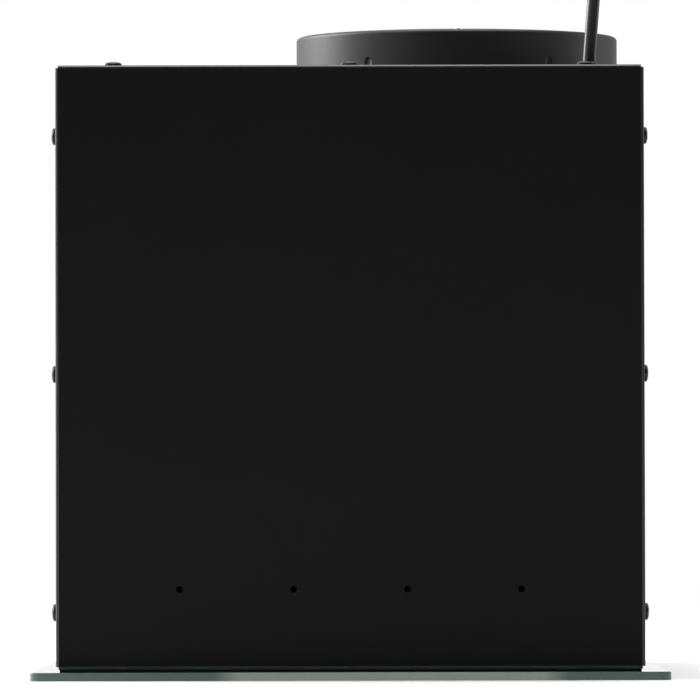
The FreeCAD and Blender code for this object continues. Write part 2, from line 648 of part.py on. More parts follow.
def blower_housing():
    """Two halves of the scroll housing with the square outlet flange under the roof."""
    wall, half, inlet = dim("volute_wall"), dim("volute_half"), dim("inlet_radius")
    roof = dim("casing_top") - 2 * dim("sheet_steel")
    centre = fan_centre()
    side, flange_thick, ear_radius, ear_length, bore = 132, 2, 6, 5, 1.6
    hollow = scroll_solid(0, half - wall)
    corner = Vector(-side / 2, dim("collar_depth") - side / 2, roof - flange_thick)
    shell = scroll_solid(wall, half).fuse(Part.makeBox(side, side, flange_thick, corner)).cut(hollow)
    shell = shell.cut(Part.makeCylinder(inlet, half, centre - Vector(half + 1, 0, 0), Vector(1, 0, 0)))
    for x, y in collar_screw_places():
        shell = shell.cut(Part.makeCylinder(bore, 8, Vector(x, dim("collar_depth") + y, roof - 5)))
    mouth = ring_at(centre, inlet + 3, inlet, -half - 3, 3 + wall)
    room = Part.makeBox(300, 400, 400, Vector(-300, -200, 0))
    left, right = shell.common(room).fuse(mouth), shell.cut(room)
    halves = [("volute_left", left, -ear_length), ("volute_right", right, 0)]
    for name, solid, start in halves:
        ears = [ring_at(spot, ear_radius, bore, start, ear_length).cut(hollow) for spot in scroll_ears()]
        made(name, solid.fuse(ears).removeSplitter())
    screws = [at(ear_length, spot.y, spot.z, TO_RIGHT) for spot in scroll_ears()]
    made("volute_screws", copies(pan_screw(3, 2, 1.5, 9), screws))


def impeller():
    """Forward-curved drum: hub and back plate, front ring, a ring of blades."""
    body = new_body("impeller")
    bore, hub, tip, plate = "shaft_radius + 0.03", 9, "impeller_radius", 34
    revolve(body, [(bore, 20), (hub, 20), (hub, plate), (tip, plate), (tip, plate + 1.5), (hub, plate + 1.5),
                   (hub, 38), (bore, 38)])
    inner, outer, half = "(impeller_radius - blade_depth)", "(impeller_radius - 0.3)", "blade_thick / 2"
    middle, lean, hook = f"({inner} + 6)", 2.2, 7.5
    blade = [(inner, f"-{half}"), (middle, f"{lean} - {half}"), (outer, f"{hook} - {half}"),
             (outer, f"{hook} + {half}"), (middle, f"{lean} + {half}"), (inner, half)]
    front = -42
    vane = pad(body, "XY", blade, front, plate + 0.5 - front)
    polar(body, vane, int(dim("blade_count")))
    rim = circles(body, "XY", [(0, 0), (0, 0)], "impeller_radius", front)
    rim.setExpression("Constraints[5]", linked("impeller_radius - 5"))
    feature(body, "Pad", rim, Length=2.5)
    body.Placement.Rotation = TO_RIGHT
    place(body, 0, "-fan_depth", "fan_level")


def motor_piece(name, points):
    """A turned piece on the fan's axis: radius and distance along X from the scroll's middle."""
    body = new_body(name)
    revolve(body, points)
    body.Placement.Rotation = TO_RIGHT
    place(body, 0, "-fan_depth", "fan_level")


def motor():
    """Capacitor-run motor that sits inside the impeller drum."""
    rim, skin, shaft = "motor_radius", "motor_radius - 3", "shaft_radius"
    rear, front, seat = -30, -6, 9
    motor_piece("stator_pack", [(22, rear), (rim, rear), (rim, front), (22, front)])
    motor_piece("motor_bell_rear", [(seat, -45), (seat, -50), (30, -50), (rim, -42), (rim, rear), (skin, rear),
                                    (skin, -40), (28, -47), (seat + 2, -47), (seat + 2, -38), (seat, -38)])
    motor_piece("motor_bell_front", [(skin, front), (rim, front), (rim, 6), (30, 12), (6, 12), (6, 10),
                                     (seat, 10), (seat, 2), (seat + 2, 2), (seat + 2, 9), (28, 9), (skin, 4)])
    motor_piece("rotor_core", [(f"{shaft} + 0.03", rear - 1), (21.4, rear - 1), (21.4, front + 1),
                               (f"{shaft} + 0.03", front + 1)])
    motor_piece("motor_shaft", [(0, -47), (shaft, -47), (shaft, 39.5), (f"{shaft} - 0.5", 40), (0, 40)])
    inner = dim("shaft_radius") + dim("bearing_clearance")
    bearings = [ring_at(fan_centre(), seat, inner, start, 7) for start in (-45, 3)]
    made("motor_bearings", Part.makeCompound(bearings))


def motor_bracket():
    """A cup with three arms that holds the motor to the scroll through rubber mounts."""
    plane, sheet_thick, cup, arm_width, bolt_circle, mount_length = -60, 2, 24, 12, 76, 6
    centre = fan_centre()
    bracket = Part.makeCylinder(cup, 10, centre + Vector(plane, 0, 0), Vector(1, 0, 0))
    bracket = bracket.cut(Part.makeCylinder(cup - 3, 8, centre + Vector(plane + 2, 0, 0), Vector(1, 0, 0)))
    arms, mounts, screws = [], [], []
    for angle in (90, 210, 330):
        turn = Rotation(Vector(1, 0, 0), angle)
        arm = Part.makeBox(sheet_thick, bolt_circle - 14, arm_width, Vector(plane, 14, -arm_width / 2))
        arm = arm.fuse(Part.makeCylinder(8, sheet_thick, Vector(plane, bolt_circle, 0), Vector(1, 0, 0)))
        arm = arm.cut(Part.makeCylinder(2.2, 4, Vector(plane - 1, bolt_circle, 0), Vector(1, 0, 0)))
        arms.append(arm.transformed(Placement(centre, turn).toMatrix()))
        spot = centre + turn.multVec(Vector(0, bolt_circle, 0))
        mounts.append(ring_at(spot, 7, 2.1, plane + sheet_thick, mount_length))
        screws.append(at(plane, spot.y, spot.z, TO_LEFT))
    made("motor_bracket", bracket.fuse(arms).removeSplitter())
    made("motor_mounts", Part.makeCompound(mounts))
    made("motor_screws", copies(pan_screw(4, 2.4, 2, 7.5), screws))


def run_capacitor():
    """The motor's capacitor, a can that lies under the roof."""
    radius = 14
    body = new_body("run_capacitor")
    revolve(body, [(0, 0), (radius - 1, 0), (radius, 1), (radius, 44), (radius - 1, 45), (9, 45), (9, 48),
                   (0, 48)])
    body.Placement.Rotation = TO_RIGHT
    place(body, 120, 20, f"{ROOF} - sheet_steel - {radius}")


# ---------------------------------------------------------------- duct collar and flaps

def duct_collar():
    """The round collar that a hose slips over: screw flange inside, lip at the rim, flap stop."""
    body = new_body("duct_collar")
    rim, inner = "collar_radius", "(collar_radius - collar_wall)"
    foot, top, throat = "collar_base", "collar_top", "collar_throat"
    groove, ledge = f"{rim} - 0.5", f"{inner} - 2.2"
    outside = [(rim, foot), (rim, f"{top} - 4.4"), (groove, f"{top} - 4"), (groove, f"{top} - 3.4"),
               (rim, f"{top} - 3"), (rim, f"{top} - 1.6"), (f"{rim} - 0.7", top)]
    inside = [(f"{inner} + 0.4", top), (inner, f"{top} - 0.4"), (inner, f"{top} - 3.3"),
              (ledge, f"{top} - 3.3"), (ledge, f"{top} - 4.8"), (inner, f"{top} - 7"),
              (inner, f"{foot} + 3"), (throat, f"{foot} + 3")]
    spigot = [(throat, f"{foot} - 1"), (f"{throat} + 3", f"{foot} - 1"), (f"{throat} + 3", foot)]
    revolve(body, spigot + outside + inside)
    holes(body, "XY", collar_screw_places(), 1.8, f"{foot} - 1", 6)
    level, slack = "flap_axis_level", "(spindle_radius + 0.1)"
    pocket(body, "YZ", rectangle(f"-{slack}", f"{level} - {slack}", slack, f"{top} + 2"), -90, 180)
    flute_height = 18
    for angle in (33.7, 146.3, 213.7, 326.3):
        y, x = math.sin(math.radians(angle)), math.cos(math.radians(angle))
        flute = [(f"{x} * ({rim} + 0.5)", f"{y} * ({rim} + 0.5)")]
        holes(body, "XY", flute, 1.6, f"{foot} - 1", flute_height)
    place(body, 0, "collar_depth", 0)


def collar_screws():
    """Four screws through the collar's inner flange, the roof and the scroll's outlet flange."""
    seat = dim("collar_base") + 3
    spots = [at(x, dim("collar_depth") + y, seat) for x, y in collar_screw_places()]
    made("collar_screws", copies(pan_screw(3.2, 2.2, 1.6, 8), spots))


def flap_spindle():
    """A wire that lies in two notches of the rim, just inside the collar's outer face."""
    reach = dim("collar_radius") - 0.3
    rod = Part.makeCylinder(dim("spindle_radius"), 2 * reach, Vector(-reach, 0, 0), Vector(1, 0, 0))
    rod.translate(Vector(0, dim("collar_depth"), dim("flap_axis_level")))
    made("flap_spindle", rod)


def flap(name, side):
    """A half-disc flap with knuckles that ride on the spindle; side is -1 in front, 1 behind."""
    radius, thick, low, clear = dim("flap_radius"), dim("flap_thick"), -1.2, 3.4
    barrel_radius, bore_radius, rib_depth, rib_start = 2.7, dim("spindle_radius") + 0.08, 2.2, 8
    disc = Part.makeCylinder(radius, thick, Vector(0, 0, low))
    blade = disc.common(Part.makeBox(200, 100, 10, Vector(-100, clear if side > 0 else -100 - clear, -5)))
    knuckles = ((-62, 22), (-12, 22), (38, 22)) if side > 0 else ((-74.5, 10), (-37, 22), (13, 22))
    for start, length in knuckles:
        barrel = Part.makeCylinder(barrel_radius, length, Vector(start, 0, 0), Vector(1, 0, 0))
        web = Part.makeBox(length, 4, thick, Vector(start, 0 if side > 0 else -4, low))
        bore = Part.makeCylinder(bore_radius, length, Vector(start, 0, 0), Vector(1, 0, 0))
        blade = blade.fuse(barrel).fuse(web).cut(bore)
    rib_length = radius - 2 * rib_start
    rib = Part.makeBox(3, rib_length, rib_depth,
                       Vector(-1.5, rib_start if side > 0 else -rib_start - rib_length, low - rib_depth))
    blade = blade.fuse(rib).removeSplitter()
    blade.translate(Vector(0, dim("collar_depth"), dim("flap_axis_level")))
    made(name, blade)


# ---------------------------------------------------------------- mains lead

def cord_grommet():
    """Strain relief clipped into the roof: short collar outside, long taper inside."""
    body = new_body("cord_grommet")
    bore, under, roof = "cord_radius", "collar_base - sheet_steel", "collar_base"
    barb = [(bore, 270), (4.2, 270), (5.6, 286), (7.5, 288), (7.5, f"{under} - 0.1"), (4.9, f"{under} - 0.1")]
    head = [(4.9, roof), (6.5, roof), (6.5, 292.6), (5, 293.2), (3.7, 295), (bore, 295)]
    revolve(body, barb + head)
    place(body, "cord_exit_x", "cord_exit_y", 0)


# The lead's route from the roof, over the left end and down to the surface that the unit stands on.
ROUTE = [
    (228.0, 114.8, 295.0), (228.0, 117.8, 335.0), (198.5, 120.5, 355.6), (164.7, 120.3, 343.3),
    (155.4, 117.8, 308.5), (137.3, 117.0, 294.7), (112.2, 112.2, 294.7), (96.4, 92.6, 294.7),
    (96.4, 47.6, 294.7), (101.0, -2.0, 294.7), (84.0, -45.0, 294.7), (44.0, -71.0, 294.7),
    (-8.0, -80.0, 294.7), (-62.0, -84.0, 294.7), (-118.0, -80.0, 294.7), (-172.0, -86.0, 294.8),
    (-218.0, -92.0, 299.0), (-252.0, -94.0, 307.5), (-281.0, -96.0, 293.0), (-291.0, -97.0, 262.0),
    (-289.0, -98.0, 210.0), (-287.0, -100.0, 156.0), (-289.0, -104.0, 102.0), (-288.0, -108.0, 58.0),
    (-288.0, -100.0, 22.0), (-288.0, -76.0, 4.2), (-287.0, -42.0, 3.6), (-288.6, -12.0, 3.4),
    (-287.6, 17.0, 3.7), (-288.0, 45.0, 3.9),
]
# From the top turn of the coil to the plug, on the surface.
TAIL = [
    (-357.0, 39.0, 9.2), (-358.0, 11.0, 5.6), (-348.0, -17.0, 3.1), (-332.0, -43.0, 4.0),
    (-328.0, -71.0, 6.5),
]


def lead_tube(points, radius, least):
    """A tube of straight runs joined by tangent arcs, each arc 0.45 of its shorter run."""
    corners = [Vector(*point) for point in points]
    edges, start = [], corners[0]
    radii = []
    for before, corner, after in zip(corners, corners[1:], corners[2:]):
        back, ahead = (before - corner), (after - corner)
        run = min(back.Length, ahead.Length)
        back.normalize()
        ahead.normalize()
        half_turn = (math.pi - back.getAngle(ahead)) / 2
        reach = 0.45 * run
        bend = reach / math.tan(half_turn)
        radii.append(round(bend, 1))
        middle = back + ahead
        middle.normalize()
        centre = corner + middle * (bend / math.cos(half_turn))
        first, last = corner + back * reach, corner + ahead * reach
        edges.append(Part.LineSegment(start, first).toShape())
        edges.append(Part.Arc(first, centre - middle * bend, last).toShape())
        start = last
    edges.append(Part.LineSegment(start, corners[-1]).toShape())
    path = Part.Wire(edges)
    heading = corners[1] - corners[0]
    ring = Part.Wire(Part.makeCircle(radius, corners[0], heading))
    tube = path.makePipeShell([ring], True, False)
    expected = math.pi * radius ** 2 * path.Length
    if abs(tube.Volume / expected - 1) > 0.01:
        raise RuntimeError(f"lead tube volume {tube.Volume:.0f}, expected {expected:.0f}")
    print("tube", round(path.Length, 1), "mm, bend radii", radii)
    if min(radii) < least:
        raise RuntimeError("a bend of the lead is too tight")
    return tube


def mains_lead():
    """The lead, the coil of what is put away, its tie, and the two-pin plug."""
    radius = dim("cord_radius")
    least_bend = 8 * radius
    tube, tail = lead_tube(ROUTE, radius, least_bend), lead_tube(TAIL, radius, least_bend)
    centre = Vector(dim("coil_x"), dim("coil_y"), 0)
    foot, mean = dim("coil_foot"), dim("coil_radius")
    inner, outer = mean - 2 * radius - 0.1, mean + 2 * radius + 0.1
    shoulder, top, soft = foot + 5.5, foot + 11.4, 1.5
    coil = round_section([(inner + soft, foot), (outer - soft, foot), (outer, foot + soft),
                          (outer, shoulder), (mean + radius, top), (mean - radius, top),
                          (inner, shoulder), (inner, foot + soft)])
    coil.translate(centre)
    made("mains_cord", tube)
    made("cord_coil", coil.cut(tube).cut(tail))
    made("cord_tail", tail)
    made("cord_tie", cord_tie(centre, inner, outer, foot, top))
    plug(Vector(*TAIL[-1]), Vector(*TAIL[-1]) - Vector(*TAIL[-2]))


def cord_tie(centre, inner, outer, foot, top):
    """A flat tie round the turns, at an angle round the coil."""
    width, thick, slack, angle = 8, 0.8, 0.3, 62
    frame = Part.makeBox(outer - inner + 2 * (thick + slack), width, top - foot + 2 * thick,
                         Vector(inner - thick - slack, -width / 2, foot - thick))
    hole = Part.makeBox(outer - inner + 2 * slack, width, top - foot, Vector(inner - slack, -width / 2, foot))
    tie = frame.cut(hole)
    tie.rotate(Vector(), Vector(0, 0, 1), angle)
    tie.translate(centre)
    return tie


def plug(point, heading):
    """A flat two-pin plug with a tapered tail; it lies on its broad side."""
    width, length, thick, tail_length = 26, 30, 13, 24
    pin_radius, pin_offset, pin_start, pin_length = 2, 9.3, 46, 24
    forward = Vector(0, 1, 0)
    start = tail_length - 2
    body = Part.makeBox(width, length, thick, Vector(-width / 2, start, -thick / 2))
    body = body.makeFillet(3, body.Edges)
    tail = round_section([(0, 0), (3.8, 0), (6.2, tail_length), (0, tail_length)])
    tail.rotate(Vector(), Vector(1, 0, 0), -90)
    body = body.fuse(tail).removeSplitter()
    pins = []
    for x in (-pin_offset, pin_offset):
        root = Vector(x, pin_start, 0)
        body = body.cut(Part.makeCylinder(pin_radius, start + length - pin_start + 2, root, forward))
        pins.append(Part.makeCylinder(pin_radius, pin_length, root, forward))
    turn = math.degrees(math.atan2(heading.y, heading.x)) - 90
    pose = Placement(Vector(point.x, point.y, thick / 2), Rotation(Vector(0, 0, 1), turn))
    made("plug_body", body.transformed(pose.toMatrix()))
    made("plug_pins", Part.makeCompound([pin.transformed(pose.toMatrix()) for pin in pins]))


def terminal_box():
    """Box under the roof that takes the lead's inner end, with a lid towards the middle."""
    start, foot, wall = "terminal_box_x", "terminal_box_foot", "terminal_box_wall"
    long, deep, high = "terminal_box_length", "terminal_box_depth", "terminal_box_height"
    front = f"{WALL} - sheet_steel - {deep}"
    outer = box(long, deep, high, start, front, foot)
    room = box(f"{long} + 1 - {wall}", f"{deep} - 2 * {wall}", f"{high} - 2 * {wall}", f"{start} - 1",
               f"{front} + {wall}", f"{foot} + {wall}")
    entry = cylinder(4.4, 10, "cord_exit_x", "cord_exit_y", f"{foot} + {high} - 6")
    subpart(cut(outer, room, entry), "terminal_box")
    subpart(box(wall, deep, high, f"{start} - {wall}", front, foot), "terminal_lid")


# ---------------------------------------------------------------- build, check, export

def build():
    casing_wrap()
    for name, side in (("right", 1), ("left", -1)):
        end_cover("end_cover_" + name, side)
        cover_screws("cover_screws_" + name, side)
    base_frame()
    base_rivets()
    glass_plate()
    glass_gasket()
    glass_fixings()
    filter_cassette()
    filter_hinges()
    carbon_filter()
    controls()
    lamps()
    blower_housing()
    impeller()
    motor()
    motor_bracket()
    run_capacitor()
    duct_collar()
    collar_screws()
    flap_spindle()
    flap("flap_front", -1)
    flap("flap_rear", 1)
    cord_grommet()
    mains_lead()
    terminal_box()
    doc.recompute()


def check_and_export():
    """Stop at any failed object or bad shape; then write one STEP file for each sub-part."""
    failed = [obj.Label for obj in doc.Objects if {"Invalid", "Error"} & set(obj.State)]
    if failed:
        raise RuntimeError("failed objects: " + ", ".join(failed))
    os.makedirs("parts", exist_ok=True)
    for obj in SUBPARTS:
        if obj.Shape.isNull() or not obj.Shape.isValid() or not obj.Shape.Solids:
            raise RuntimeError("bad shape: " + obj.Label)
        obj.Shape.exportStep(os.path.join("parts", obj.Label + ".step"))
    print(len(SUBPARTS), "sub-parts written")


build()
check_and_export()
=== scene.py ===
"""Looks of a box-type ducted fume extractor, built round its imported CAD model.

Metres, +X along the unit's width, +Y to its rear, +Z up, origin under the glass plate.
"""
import math

import bpy
from bpy.props import FloatProperty, FloatVectorProperty, PointerProperty
from mathutils import Matrix, Vector


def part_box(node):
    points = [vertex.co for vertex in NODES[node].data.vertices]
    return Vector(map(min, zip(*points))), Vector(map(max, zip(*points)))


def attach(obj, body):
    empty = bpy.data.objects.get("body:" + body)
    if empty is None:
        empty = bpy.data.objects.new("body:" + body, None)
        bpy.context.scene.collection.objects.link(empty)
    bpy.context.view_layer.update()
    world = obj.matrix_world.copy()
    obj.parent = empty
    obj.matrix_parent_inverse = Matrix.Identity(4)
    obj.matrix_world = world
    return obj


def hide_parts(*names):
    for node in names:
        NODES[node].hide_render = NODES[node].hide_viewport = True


bl_info = {
    "name": "Ducted fume extractor",
    "version": (1, 0, 0),
    "blender": (4, 5, 0),
    "location": "3D Viewport > Sidebar > Extractor",
    "description": "Models a box-type fume extractor round its CAD frame, piece by piece",
    "category": "Object",
}

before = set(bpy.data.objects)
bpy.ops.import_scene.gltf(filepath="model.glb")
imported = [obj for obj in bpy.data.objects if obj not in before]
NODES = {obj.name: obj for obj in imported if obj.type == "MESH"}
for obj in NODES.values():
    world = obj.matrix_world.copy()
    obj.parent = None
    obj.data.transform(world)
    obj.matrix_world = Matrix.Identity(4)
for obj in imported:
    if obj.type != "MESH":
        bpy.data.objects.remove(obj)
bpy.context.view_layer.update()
MM = 0.001
COVER_LOW, COVER_HIGH = (Vector(corner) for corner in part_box("end_cover_right"))
GLASS_LOW, GLASS_HIGH = (Vector(corner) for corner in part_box("glass_plate"))
COLLAR_LOW, COLLAR_HIGH = (Vector(corner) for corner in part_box("duct_collar"))

# Sizes shared with the CAD model that its boxes don't give.
COVER_HOLE = 1.6 * MM
COVER_HOLE_PITCH = 54.1 * MM
COVER_HOLE_HEIGHT = 43.2 * MM
CORNER_RELIEF = 1.3 * MM
SCREW_SETBACK = 10 * MM
SCREW_PITCH = 112.5 * MM
SCREW_LEVELS = (32.3 * MM, 145.65 * MM, 259.0 * MM)
LAMP_PLACES = ((-218 * MM, 19.5 * MM), (218 * MM, 19.5 * MM))
LAMP_HOLE = 15.5 * MM
GLASS_CORNER = 5.5 * MM
WINDOW = ((-196 * MM, -59 * MM), (196 * MM, 98 * MM))
WINDOW_CENTRE = 19.5 * MM
CONTROL_SLOT = ((-65 * MM, -119 * MM), (65 * MM, -97 * MM))
COLLAR_CENTRE = 54.5 * MM
COLLAR_THROAT = 68 * MM
COLLAR_SCREW = 53.03 * MM
SPINDLE_LEVEL = 319.2 * MM


def hex_to_linear(code):
    """An sRGB hex colour as linear red, green and blue."""
    channels = [int(code[i:i + 2], 16) / 255 for i in (0, 2, 4)]
    return [c / 12.92 if c <= 0.04045 else ((c + 0.055) / 1.055) ** 2.4 for c in channels]


# ---------------------------------------------------------------- settings a user would change

class ExtractorSizes(bpy.types.PropertyGroup):
    """Sizes of the pieces that are modelled here."""

    sheet: FloatProperty(name="Sheet thickness", description="Thickness of the folded steel",
                         default=1.0 * MM, unit="LENGTH")
    bend: FloatProperty(name="Bend radius", description="Outer radius of the covers' bends",
                        default=1.5 * MM, unit="LENGTH")
    cut_edge: FloatProperty(name="Edge rounding", description="Powder that rounds each cut edge",
                            default=0.16 * MM, unit="LENGTH")
    screw_head: FloatProperty(name="Screw head", description="Diameter of the cover screws' heads",
                              default=8.0 * MM, unit="LENGTH")
    cord: FloatProperty(name="Lead diameter", description="Diameter of the mains lead",
                        default=6.0 * MM, unit="LENGTH")


class ExtractorColours(bpy.types.PropertyGroup):
    """Colours of the finishes that show most."""

    powder: FloatVectorProperty(name="Powder coat", description="Black of the case",
                                default=hex_to_linear("0a0a0b"), subtype="COLOR")
    collar: FloatVectorProperty(name="Collar", description="Dark grey of the moulded collar",
                                default=hex_to_linear("2c2c2f"), subtype="COLOR")
    lead: FloatVectorProperty(name="Lead", description="Black of the PVC lead",
                              default=hex_to_linear("2a2a2c"), subtype="COLOR")
    glass: FloatVectorProperty(name="Glass", description="Green of the float glass",
                               default=hex_to_linear("c4dcd0"), subtype="COLOR")


def sizes():
    return bpy.context.scene.extractor_sizes


def colours():
    return bpy.context.scene.extractor_colours


# ---------------------------------------------------------------- modelling helpers

def deselect():
    if bpy.context.object and bpy.context.object.mode != "OBJECT":
        bpy.ops.object.mode_set(mode="OBJECT")
    bpy.ops.object.select_all(action="DESELECT")


def activate(obj):
    deselect()
    obj.select_set(True)
    bpy.context.view_layer.objects.active = obj


def settle(name):
    """Name the primitive just added, and move its place into its mesh."""
    obj = bpy.context.object
    obj.name = name
    obj.data.name = name
    bpy.ops.object.transform_apply(location=True, rotation=True, scale=True)
    return obj


def block(name, low, high):
    deselect()
    low, high = Vector(low), Vector(high)
    bpy.ops.mesh.primitive_cube_add(size=1, location=(low + high) / 2)
    bpy.context.object.scale = high - low
    return settle(name)


def rod(name, radius, start, end, sides=48):
    deselect()
    start, end = Vector(start), Vector(end)
    along = end - start
    bpy.ops.mesh.primitive_cylinder_add(vertices=sides, radius=radius, depth=along.length,
                                        location=(start + end) / 2,
                                        rotation=along.to_track_quat("Z", "Y").to_euler())
    return settle(name)


def pick(obj, kind, test):
    """Go into edit mode with those vertices, edges or faces selected that pass the test."""
    activate(obj)
    bpy.ops.object.mode_set(mode="EDIT")
    bpy.context.tool_settings.mesh_select_mode = [kind == mode for mode in ("VERT", "EDGE", "FACE")]
    bpy.ops.mesh.select_all(action="DESELECT")
    bpy.ops.object.mode_set(mode="OBJECT")
    points = [vertex.co.copy() for vertex in obj.data.vertices]
    if kind == "VERT":
        for vertex in obj.data.vertices:
            vertex.select = test(vertex.co)
    if kind == "EDGE":
        for edge in obj.data.edges:
            edge.select = test(*(points[index] for index in edge.vertices))
    if kind == "FACE":
        for face in obj.data.polygons:
            face.select = test(face.center, face.normal)
    bpy.ops.object.mode_set(mode="EDIT")


def leave_edit():
    bpy.ops.object.mode_set(mode="OBJECT")


def apply_modifier(obj, kind, **settings):
    activate(obj)
    modifier = obj.modifiers.new(kind, kind)
    for name, value in settings.items():
        setattr(modifier, name, value)
    bpy.ops.object.modifier_apply(modifier=modifier.name)


def cut(obj, *tools):
    """Take the tools' shapes out of a piece, and remove the tools."""
    for tool in tools:
        apply_modifier(obj, "BOOLEAN", object=tool, operation="DIFFERENCE", solver="EXACT")
        bpy.data.objects.remove(tool)


def round_edges(obj, width, segments=2, angle=35):
    apply_modifier(obj, "BEVEL", width=width, segments=segments, limit_method="ANGLE",
                   angle_limit=math.radians(angle), miter_outer="MITER_ARC")


def smooth(obj, angle=35):
    """Smooth shading across small angles, with broad flat faces kept flat."""
    activate(obj)
    bpy.ops.object.shade_smooth_by_angle(angle=math.radians(angle))
    apply_modifier(obj, "WEIGHTED_NORMAL", weight=90, keep_sharp=True)


def join(name, pieces):
    deselect()
    for piece in pieces:
        piece.select_set(True)
    bpy.context.view_layer.objects.active = pieces[0]
    bpy.ops.object.join()
    pieces[0].name = name
    pieces[0].data.name = name
    return pieces[0]


def copies(name, piece, places):
    """Copies of one piece at several matrices, as one object; the first piece is used up."""
    made = []
    for matrix in places:
        twin = piece.copy()
        twin.data = piece.data.copy()
        twin.data.transform(matrix)
        bpy.context.collection.objects.link(twin)
        made.append(twin)
    bpy.data.objects.remove(piece)
    return join(name, made)


def turned(name, profile, steps):
    """A piece turned about Z: a chain of radius and height points, extruded and then spun."""
    deselect()
    first = Vector((profile[0][0], 0, profile[0][1]))
    bpy.ops.mesh.primitive_plane_add(size=MM, location=first)
    piece = settle(name)
    bpy.ops.object.mode_set(mode="EDIT")
    bpy.context.tool_settings.mesh_select_mode = (True, False, False)
    bpy.ops.mesh.select_all(action="SELECT")
    bpy.ops.mesh.merge(type="CENTER")
    previous = first
    for radius, height in profile[1:]:
        point = Vector((radius, 0, height))
        bpy.ops.mesh.extrude_vertices_move(TRANSFORM_OT_translate={"value": point - previous})
        previous = point
    bpy.ops.mesh.select_all(action="SELECT")
    bpy.ops.mesh.spin(steps=steps, angle=2 * math.pi, center=(0, 0, 0), axis=(0, 0, 1))
    bpy.ops.mesh.select_all(action="SELECT")
    bpy.ops.mesh.remove_doubles(threshold=0.002 * MM)
    bpy.ops.mesh.normals_make_consistent(inside=False)
    leave_edit()
    return piece


def arc(centre, radius, start, stop, count=6):
    """Points of an arc in a turned profile, angles in degrees."""
    angles = [math.radians(start + (stop - start) * i / (count - 1)) for i in range(count)]
    return [(centre[0] + radius * math.cos(a), centre[1] + radius * math.sin(a)) for a in angles]


def finish_piece(piece, finish, body="casing", stands_for=()):
    piece.data.materials.clear()
    piece.data.materials.append(finish)
    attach(piece, body)
    if stands_for:
        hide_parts(*stands_for)


def repaint(finish, *names):
    """Give CAD nodes a better material, in their own material slots."""
    for name in names:
        for place in NODES[name].material_slots:
            place.material = finish
        if not NODES[name].material_slots:
            NODES[name].data.materials.append(finish)


# ---------------------------------------------------------------- materials

def add_node(tree, kind, inputs=None, **settings):
    """Add a shader node; an input is a value or another node's output socket."""
    item = tree.nodes.new("ShaderNode" + kind)
    for name, value in settings.items():
        setattr(item, name, value)
    for name, value in (inputs or {}).items():
        if isinstance(value, bpy.types.NodeSocket):
            tree.links.new(value, item.inputs[name])
        else:
            item.inputs[name].default_value = value
    return item


def finish_of(name, **constants):
    """A new material: its node tree, its shader and its object coordinates."""
    material = bpy.data.materials.new(name)
    material.use_nodes = True
    tree = material.node_tree
    shader = tree.nodes["Principled BSDF"]
    for socket, value in constants.items():
        shader.inputs[socket.replace("_", " ")].default_value = value
    place = add_node(tree, "TexCoord").outputs["Object"]
    return material, tree, shader, place


def grain(tree, shader, place, size, strength, depth, detail=2.0):
    """Bump from noise whose grains are about size metres across; returns the noise's value."""
    noise = add_node(tree, "TexNoise", {"Vector": place, "Scale": 1 / size, "Detail": detail})
    emboss(tree, shader, noise.outputs["Fac"], strength, depth)
    return noise.outputs["Fac"]


def emboss(tree, shader, height, strength, depth):
    """Bump from any pattern's value."""
    bump = add_node(tree, "Bump", {"Height": height, "Strength": strength, "Distance": depth})
    tree.links.new(bump.outputs["Normal"], shader.inputs["Normal"])


def vary(tree, shader, socket, factor, low, high):
    """Let one value of the shader run from low to high with a factor."""
    ramp = add_node(tree, "MapRange", {"Value": factor, "From Min": 0.3, "From Max": 0.7,
                                       "To Min": low, "To Max": high})
    tree.links.new(ramp.outputs["Result"], shader.inputs[socket])


def tint(tree, shader, factor, dark, light):
    """Let the base colour run between two linear colours with a factor."""
    mix = add_node(tree, "Mix", {"Factor": factor}, data_type="RGBA")
    mix.inputs["A"].default_value = (*dark, 1)
    mix.inputs["B"].default_value = (*light, 1)
    tree.links.new(mix.outputs["Result"], shader.inputs["Base Color"])


def scaled(colour, factor):
    return [channel * factor for channel in colour]


def powder_coat():
    """Polyester powder coat, fine texture, satin: soft highlights broken by 0.5 mm orange peel."""
    material, tree, shader, place = finish_of("powder_coat_black_satin", Specular_IOR_Level=0.14)
    noise = grain(tree, shader, place, 0.55 * MM, 0.35, 0.03 * MM, 3)
    cloud = add_node(tree, "TexNoise", {"Vector": place, "Scale": 1 / (45 * MM), "Detail": 2.0})
    tint(tree, shader, cloud.outputs["Fac"], scaled(colours().powder, 0.86), scaled(colours().powder, 1.12))
    vary(tree, shader, "Roughness", noise, 0.42, 0.55)
    return material


def powder_painted_bend_highlight():
    """Powder coat on the bends, smoother and glossier: a lighter copy of the black that paints a highlight
    along each bend.
    """
    material, tree, shader, place = finish_of("powder_coat_black_painted_highlight", Specular_IOR_Level=0.7)
    noise = grain(tree, shader, place, 0.55 * MM, 0.15, 0.02 * MM, 3)
    # painted highlight: the bends' black lifted to 1.1 to 1.6 times the powder colour
    tint(tree, shader, noise, scaled(colours().powder, 1.1), scaled(colours().powder, 1.6))
    vary(tree, shader, "Roughness", noise, 0.3, 0.42)
    return material


def black_zinc():
    """Zinc plate, black passivated: dark satin metal, finely mottled."""
    material, tree, shader, place = finish_of("steel_black_zinc", Metallic=0.85)
    noise = grain(tree, shader, place, 0.4 * MM, 0.15, 0.02 * MM)
    tint(tree, shader, noise, hex_to_linear("232324"), hex_to_linear("3a3a3c"))
    vary(tree, shader, "Roughness", noise, 0.28, 0.42)
    return material


def float_glass():
    """Clear float glass: faintly green, with all but flat faces."""
    material, tree, shader, place = finish_of("float_glass_clear", Roughness=0.03, IOR=1.52,
                                              Transmission_Weight=1.0, Base_Color=(*colours().glass, 1))
    grain(tree, shader, place, 6 * MM, 0.05, 0.02 * MM)
    return material


